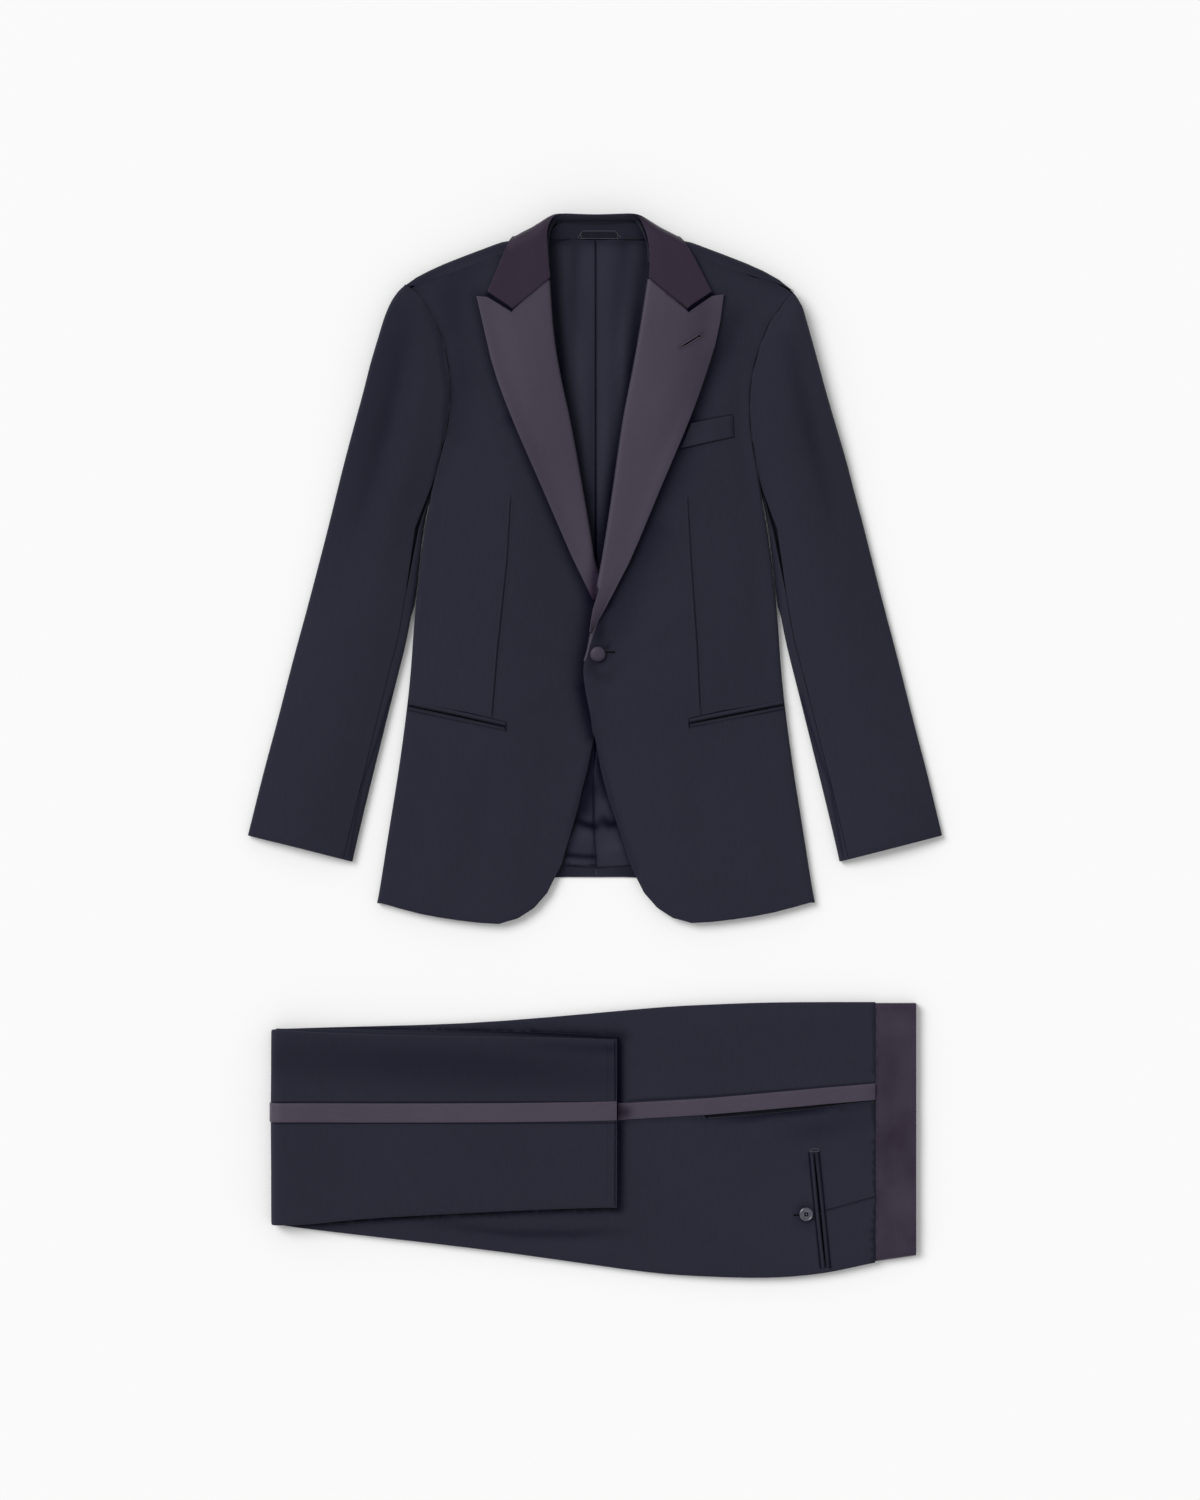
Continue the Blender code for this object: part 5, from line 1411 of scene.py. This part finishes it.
def makeBackButton():
    low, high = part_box("back_pocket_button")
    x, y = (low.x + high.x) / 2, (low.y + high.y) / 2
    piece = domed("backPocketButtonPolished", x, y, low.z, backButton["rings"], 48)
    corners = [math.radians(45 + 90 * k) for k in range(4)]
    out = backButton["holeOut"] * mm
    shades = []
    for turn in corners:
        bpy.ops.mesh.primitive_cylinder_add(
            vertices=16, radius=backButton["holeRadius"] * mm, depth=8 * mm,
            location=(x + out * math.cos(turn), y + out * math.sin(turn), low.z + 1 * mm),
        )
        drill = bpy.context.object
        cut = piece.modifiers.new("hole", "BOOLEAN")
        cut.operation = "DIFFERENCE"
        cut.object = drill
        applied(piece)
        bpy.data.objects.remove(drill)
        # painted shade: a thin dark disc down in each hole
        bpy.ops.mesh.primitive_cylinder_add(
            vertices=16, radius=backButton["holeRadius"] * mm, depth=0.3 * mm,
            location=(x + out * math.cos(turn), y + out * math.sin(turn), low.z + 1.86 * mm),
        )
        shades.append(bpy.context.object)
    finished(joined(shades, "backPocketButtonHoles"), "openShade")
    finished(piece, "polishedButton", ["back_pocket_button"], 0.12, 35)
    threads = []
    for side in (-1, 1):
        for strand in (-0.3, 0.3):
            bpy.ops.mesh.primitive_cylinder_add(
                vertices=8, radius=backButton["thread"] / 2 * mm, depth=2.9 * out / 1.45,
                location=(x + side * out * 0.7, y + strand * mm * 0.6 * side, low.z + 1.75 * mm),
                rotation=(math.pi / 2, 0, 0),
            )
            threads.append(bpy.context.object)
    stitches = joined(threads, "backPocketButtonThreads")
    finished(stitches, "darkWool")


# Pockets

hipPocket = {
    # from the end near the front to the one at the side: place, jet width above and below, gap
    "leftRun": ((103, 222.4), (207, 242.6)),
    "rightRun": ((-100, 218.8), (-206, 241.6)),
    "stations": 40, "above": 4.2, "below": 3.6, "gap": 2.0, "thick": 1.3, "shade": 1.7,
}


def jetSection(side, width, thick, gapHalf):
    # from the sewn edge, over the rolled lip and down into the opening
    return (
        (side * (gapHalf + width + 0.5), -0.5), (side * (gapHalf + width), 0.10), (side * (gapHalf + width * 0.8),
            thick * 0.75),
        (side * (gapHalf + width * 0.4), thick), (side * (gapHalf + width * 0.12), thick * 0.9),
        (side * gapHalf, thick * 0.45), (side * (gapHalf + 0.1), -0.5),
    )


def makeJetPair(name, at, run, settings, node):
    a, b = Vector(run[0]), Vector(run[1])
    along = (b - a).normalized()
    side = Vector((-along.y, along.x))
    if side.y < 0 or (abs(side.y) < 0.2 and side.x < 0):
        side = -side
    count = settings["stations"]
    pieces = []
    for hand, width in ((1, settings["above"]), (-1, settings["below"])):
        mesh = bmesh.new()
        rings = []
        for k in range(count):
            t = k / (count - 1)
            middle = a + (b - a) * t
            gap = settings["gap"] / 2 * (0.12 + 0.88 * math.sin(math.pi * min(max(t, 0.02), 0.98)) ** 0.7)
            ring = []
            for out, rise in jetSection(hand, width, settings["thick"], gap):
                spot = middle + side * out
                x, y = (at[0] + spot.x) * mm, (at[1] + spot.y) * mm
                ring.append(mesh.verts.new((x, y, heightAt(x, y) + rise * mm)))
            rings.append(ring)
        for low, high in zip(rings, rings[1:]):
            for i in range(len(low)):
                j = (i + 1) % len(low)
                mesh.faces.new((low[i], low[j], high[j], high[i]))
        mesh.faces.new(rings[0])
        mesh.faces.new(rings[-1])
        bmesh.ops.recalc_face_normals(mesh, faces=mesh.faces[:])
        data = bpy.data.meshes.new(name)
        mesh.to_mesh(data)
        mesh.free()
        half = bpy.data.objects.new(name + "Half", data)
        suit.objects.link(half)
        pieces.append(half)
    whole = joined(pieces, name)
    # painted shade along the mouth between the jets
    paintShade(whole, at, [(run, 1.5, (0.95, 0.95))])
    finished(whole, "darkWool", [node], 0, 60)


def makeHipPockets():
    for word in ("left", "right"):
        run = hipPocket[word + "Run"]
        makeJetPair("hipJets" + word.capitalize(), jacketAt, run, hipPocket, "hip_jets_" + word)
        a, b = Vector(run[0]), Vector(run[1])
        shade = pocketShade("hipSlit" + word.capitalize(), jacketAt, a, b, hipPocket["shade"])
        finished(shade, "openShade")


welt = {
    # painted shade beside the welt's end by the lapel, and along its stitched end
    "hollows": (
        (((96, 549), (94, 538), (91, 526)), 7, (0.6, 0.6, 0.5)),
        (((147.8, 558.6), (149, 538.6)), 0.8, (0.45, 0.45)),
    ),
}


def makeWelt():
    piece = softened("chest_welt", "chestWeltWool", 2)
    evenOut(piece, 3.0)
    movePoints(piece, jacketAt, lambda x, y, z: (0, 0, bodyRise(x, y, z) + 0.5))
    paintShade(piece, jacketAt, welt["hollows"])
    finished(piece, "darkWool", ["chest_welt"], 0.35)


# Trousers

trousers = {
    "levels": 1, "cell": 8.5, "edge": 0.8,
    "foldsTurned": (
        (((10, 150), (150, 100), (360, 95)), 22, (0.1, 0.5, 0.3)),
        (((60, 90), (180, 84), (330, 88)), 12, (0.2, 0.6, 0.3)),
        (((20, 255), (120, 244), (240, 240)), 7, (-0.4, -0.7, -0.1)),
        (((40, 228), (180, 224), (340, 232)), 11, (0.3, 0.4, 0.1)),
    ),
    "foldsThigh": (
        (((170, 62), (250, 52), (360, 50)), 9, (-0.3, -1.0, -0.2)),
        (((200, 40), (330, 28), (420, 30)), 11, (0.5, 0.8, 0.1)),
        (((420, 90), (500, 110), (540, 150)), 18, (0.3, 0.7, 0.2)),
        (((400, 260), (520, 285), (650, 290)), 14, (0.3, 0.7, 0.5)),
        (((400, 225), (500, 232), (640, 228)), 12, (-0.2, -0.5, -0.2)),
        (((500, 40), (560, 24), (620, 26)), 14, (0.2, 0.5, 0.2)),
    ),
    "dart": ((604, 74.5), (667, 92)),
    "hemOut": 2.1, "waistOut": 1.1, "topUp": 1.2,  # how far it lies from its even form, to the hem's side and up
    "mouthEnd": ((596, 188.8), (630, 193.4), (666, 197.6)),  # where the side pocket's mouth closes again
    "seamsTurned": (
        (((376.4, 82), (376.8, 172), (376.4, 262)), 0.7, 0.7),
        (((368, 84), (368.4, 172), (368, 260)), 0.5, 0.15),
        (((2, 195.4), (190, 195.4), (379, 195.4)), 0.6, 0.5),
        (((2, 172.8), (190, 172.8), (379, 172.8)), 0.6, 0.5),
    ),
    "seamsThigh": (
        (((600, 74), (667, 92)), 0.75, 0.9),
        (((589.7, 139), (596.4, 73), (602.4, 13)), 0.8, 0.8),
        (((600.4, 140), (607.2, 73), (613.2, 13)), 0.9, 1.0),
    ),
    # painted shade: under the turned leg's top edge, along its hem and stripe seams, and in broad creases
    "hollowsTurned": (
        (((30, 277.5), (120, 276), (249, 273), (376, 266.5)), 2.0, (0.3, 0.7, 0.95, 1)),
        (((376.4, 82), (376.8, 172), (376.4, 262)), 0.9, (0.6, 0.7, 0.7)),
        (((368, 84), (368.4, 172), (368, 260)), 0.7, (0.1, 0.15, 0.15)),
        (((2, 195.6), (190, 195.6), (379, 195.6)), 1.0, (0.6, 0.6, 0.6)),
        (((2, 172.6), (190, 172.6), (379, 172.6)), 1.0, (0.6, 0.6, 0.6)),
        (((10, 244), (130, 240), (250, 234), (374, 226)), 26, (0.25, 0.38, 0.38, 0.25)),
        (((250, 262), (330, 256), (374, 254)), 6, (0.0, 0.25, 0.45)),
    ),
    # painted shade: beside the turned leg's edges, along the stripe, in the side pocket's mouth, at the waist seam, the
    # back pocket and dart, and round the button
    "hollowsThigh": (
        (((30, 277.5), (120, 276), (249, 273), (376, 266.5)), 2.4, (0.3, 0.7, 0.95, 1)),
        (((200, 276), (300, 273), (384, 268)), 7, (0.0, 0.3, 0.5)),
        (((381, 79), (381, 130), (381, 184), (381, 262)), 5.0, (0.5, 0.75, 0.95, 0.75)),
        (((30, 61), (100, 66), (184, 71.5), (280, 75.5), (382, 78)), 3.4, (0.6, 0.85, 0.8, 0.75, 0.8)),
        (((150, 62), (203, 58), (274, 50), (329, 50), (400, 54)), 5.0, (0.0, 0.3, 0.5, 0.5, 0.0)),
        (((391, 196.4), (495, 202.4), (598, 211.2), (663, 216.4)), 1.2, (0.6, 0.6, 0.6)),
        (((391, 172.8), (480, 177.5)), 1.0, (0.6, 0.6)),
        (((470, 176.5), (520, 178.4), (572, 184.4), (625, 190.4), (663, 195)), 4.2, (0.3, 0.85, 0.95, 0.8, 0.4)),
        (((545, 158), (600, 166), (650, 176)), 12, (0.0, 0.25, 0.1)),
        (((663.4, 10), (663.4, 150), (663.4, 302)), 1.2, (0.8, 0.8, 0.8)),
        (((589.7, 139), (596.4, 73), (602.4, 13)), 1.3, (0.9, 0.9, 0.9)),
        (((600.4, 140), (607.2, 73), (613.2, 13)), 1.4, (0.95, 0.95, 0.95)),
        (((604, 74.5), (667, 92)), 0.9, (0.5, 0.5)),
        (((586.5, 72), (586.7, 72)), 9.4, (0.85, 0.85)),
        (((592, 128), (586, 118)), 8, (0.2, 0.0)),
    ),
    # painted shadow on the stripe beside the turned hem, and near the waistband
    "hollowsStripe": (
        (((380, 184), (388, 184)), 7.5, (1, 0.9)),
        (((640, 205), (664, 207)), 9, (0.0, 0.3)),
    ),
}


def turnedBack(x, y, z):
    # the right leg shows where it turns back over the other
    share = easeTo((z - 11) / 4) * easeTo(x / 30)
    return 0, 0, softFolds(x, y, trousers["foldsTurned"]) * share


def settled(x, y, z):
    out = trousers["hemOut"] + (trousers["waistOut"] - trousers["hemOut"]) * x / 708
    return -out, trousers["topUp"] * easeTo((y - 150) / 150), 0


def makeLegs():
    for word in ("right", "left"):
        for half in ("front", "back"):
            node = "leg_" + word + "_" + half
            piece = softened(node, "legCloth" + word.capitalize() + half.capitalize(), trousers["levels"])
            evenOut(piece, trousers["cell"])

            def rule(x, y, z, word=word):
                if word == "right":
                    return turnedBack(x, y, z)
                free = np.maximum(easeTo((x - 384) / 12), easeTo((62 + 0.045 * x - y) / 8))
                share = easeTo((z - 5) / 3) * np.maximum(free, easeTo(12.5 - z))
                return (0, 0, softFolds(x, y, trousers["foldsThigh"]) * share)

            movePoints(piece, trousersAt, rule)
            movePoints(piece, trousersAt, settled)
            if word == "right":
                sinkSeams(piece, trousersAt, trousers["seamsTurned"], 12)
                paintShade(piece, trousersAt, trousers["hollowsTurned"])
            else:
                if half == "back":
                    drawnTo(piece, trousersAt, trousers["mouthEnd"], 5, 2.4)
                    sinkSeams(piece, trousersAt, trousers["seamsThigh"], 8)
                    refine(piece, trousersAt, [((586.5, 72), (586.7, 72))], 11, 1.8)
                else:
                    refine(piece, trousersAt, [((382, 79), (382, 262)), ((391, 196.4), (663, 216.4))], 5, 2.4)
                paintShade(piece, trousersAt, trousers["hollowsThigh"])
            finished(piece, "darkWool", [node], trousers["edge"])


def makeStripes():
    for word in ("left", "right"):
        piece = softened("stripe_" + word, "stripeSatin" + word.capitalize(), 1)
        evenOut(piece, 5.0)

        def rule(x, y, z, word=word):
            if word == "right":
                return turnedBack(x, y, z)
            return (0, 0, softFolds(x, y, trousers["foldsThigh"]))

        movePoints(piece, trousersAt, rule)
        movePoints(piece, trousersAt, settled)
        if word == "left":
            paintShade(piece, trousersAt, trousers["hollowsStripe"])
        finished(piece, "stripeSatin", ["stripe_" + word], 0.25)


waistband = {
    "cell": 5.2,
    # painted shade along the waist seam and in the hollows between the folds
    "hollows": (
        (((664, 6), (664, 150), (664, 306)), 1.0, (0.5, 0.5, 0.5)),
        (((672, 262), (682, 240), (676, 205)), 9, (0.1, 0.3, 0.25)),
        (((680, 168), (672, 140), (680, 110)), 9, (0.1, 0.2, 0.2)),
        (((668, 90), (676, 60), (670, 20)), 8, (0.2, 0.15, 0.2)),
    ),
    "folds": (
        (((664, 240), (708, 232)), 9, (0.5, 0.6, 0.2)),
        (((664, 205), (708, 196)), 8, (-0.5, -0.6, -0.3)),
        (((664, 150), (708, 160)), 14, (0.4, 0.5, 0.4)),
        (((664, 92), (708, 84)), 9, (-0.4, -0.3, -0.2)),
        (((664, 56), (708, 60)), 10, (0.3, 0.4, 0.3)),
    ),
}


def makeWaistband():
    piece = softened("waistband", "waistbandSatin", 1)
    evenOut(piece, waistband["cell"])

    def rule(x, y, z):
        return (0, 0, softFolds(x, y, waistband["folds"]) * easeTo((z - 8) / 2))

    movePoints(piece, trousersAt, rule)
    movePoints(piece, trousersAt, settled)
    paintShade(piece, trousersAt, waistband["hollows"])
    finished(piece, "waistbandSatin", ["waistband"], 0.6)


backPocket = {
    "run": ((595, 139.5),
        (607.8, 13.5)), "stations": 40, "above": 3.6, "below": 3.4, "gap": 2.6, "thick": 1.3, "shade": 1.9,
    "bar": ((590.6, 140.6), (592, 143.2), (596, 144.2), (599.4, 143.4), (600.6, 141), (590.6, 140.6)),
}


def makeBackPocket():
    makeJetPair("backJets", trousersAt, backPocket["run"], backPocket, "back_jets")
    shade = pocketShade("backSlit", trousersAt, *backPocket["run"], backPocket["shade"])
    finished(shade, "openShade")
    bar = threadAlong("backPocketBar", trousersAt, backPocket["bar"], 0.26, 0.2)
    finished(bar, "labelThread")


# Studio

def makeStudio():
    bpy.ops.object.select_all(action="DESELECT")
    bpy.ops.mesh.primitive_plane_add(size=8, location=(0, 0, 0))
    floor = bpy.context.object
    floor.name = "studioFloor"
    material = bpy.data.materials.new("palePaper")
    material.use_nodes = True
    shader = material.node_tree.nodes["Principled BSDF"]
    shader.inputs["Base Color"].default_value = (0.95, 0.95, 0.95, 1)
    shader.inputs["Roughness"].default_value = 0.95
    shader.inputs["Specular IOR Level"].default_value = 0.0
    floor.data.materials.append(material)

    world = bpy.data.worlds.new("studio")
    bpy.context.scene.world = world
    world.use_nodes = True
    world.node_tree.nodes["Background"].inputs["Color"].default_value = (1, 1, 1, 1)
    world.node_tree.nodes["Background"].inputs["Strength"].default_value = 0.58

    sun = bpy.data.lights.new("softKey", "SUN")
    sun.energy = 1.93
    sun.angle = math.radians(34)
    key = bpy.data.objects.new("softKey", sun)
    key.rotation_euler = Vector((-0.62, 0.45, 0.75)).to_track_quat("Z", "Y").to_euler()
    bpy.context.scene.collection.objects.link(key)
    bpy.context.scene.view_settings.view_transform = "Standard"


def makeCamera():
    camera = bpy.data.cameras.new("overhead")
    camera.lens = 100
    camera.sensor_width = 36
    camera.dof.use_dof = False
    eye = bpy.data.objects.new("overhead", camera)
    eye.location = (0.0044, -0.005, 1.65 * 100 / 36 + 0.006)
    bpy.context.scene.collection.objects.link(eye)
    bpy.context.scene.camera = eye


makeCamera()
makeBacks()
makeLinings()
makeFronts()
print("body laid")
makeSleeves()
makeLapels()
makeNeck()
makeWelt()
print("sleeves, lapels and collar laid")
makeLegs()
makeStripes()
makeWaistband()
print("trousers folded")
makeHipPockets()
makeBackPocket()
makeButtonholes()
makeFrontButton()
makeBackButton()
print("pockets and buttons sewn")
makeStudio()
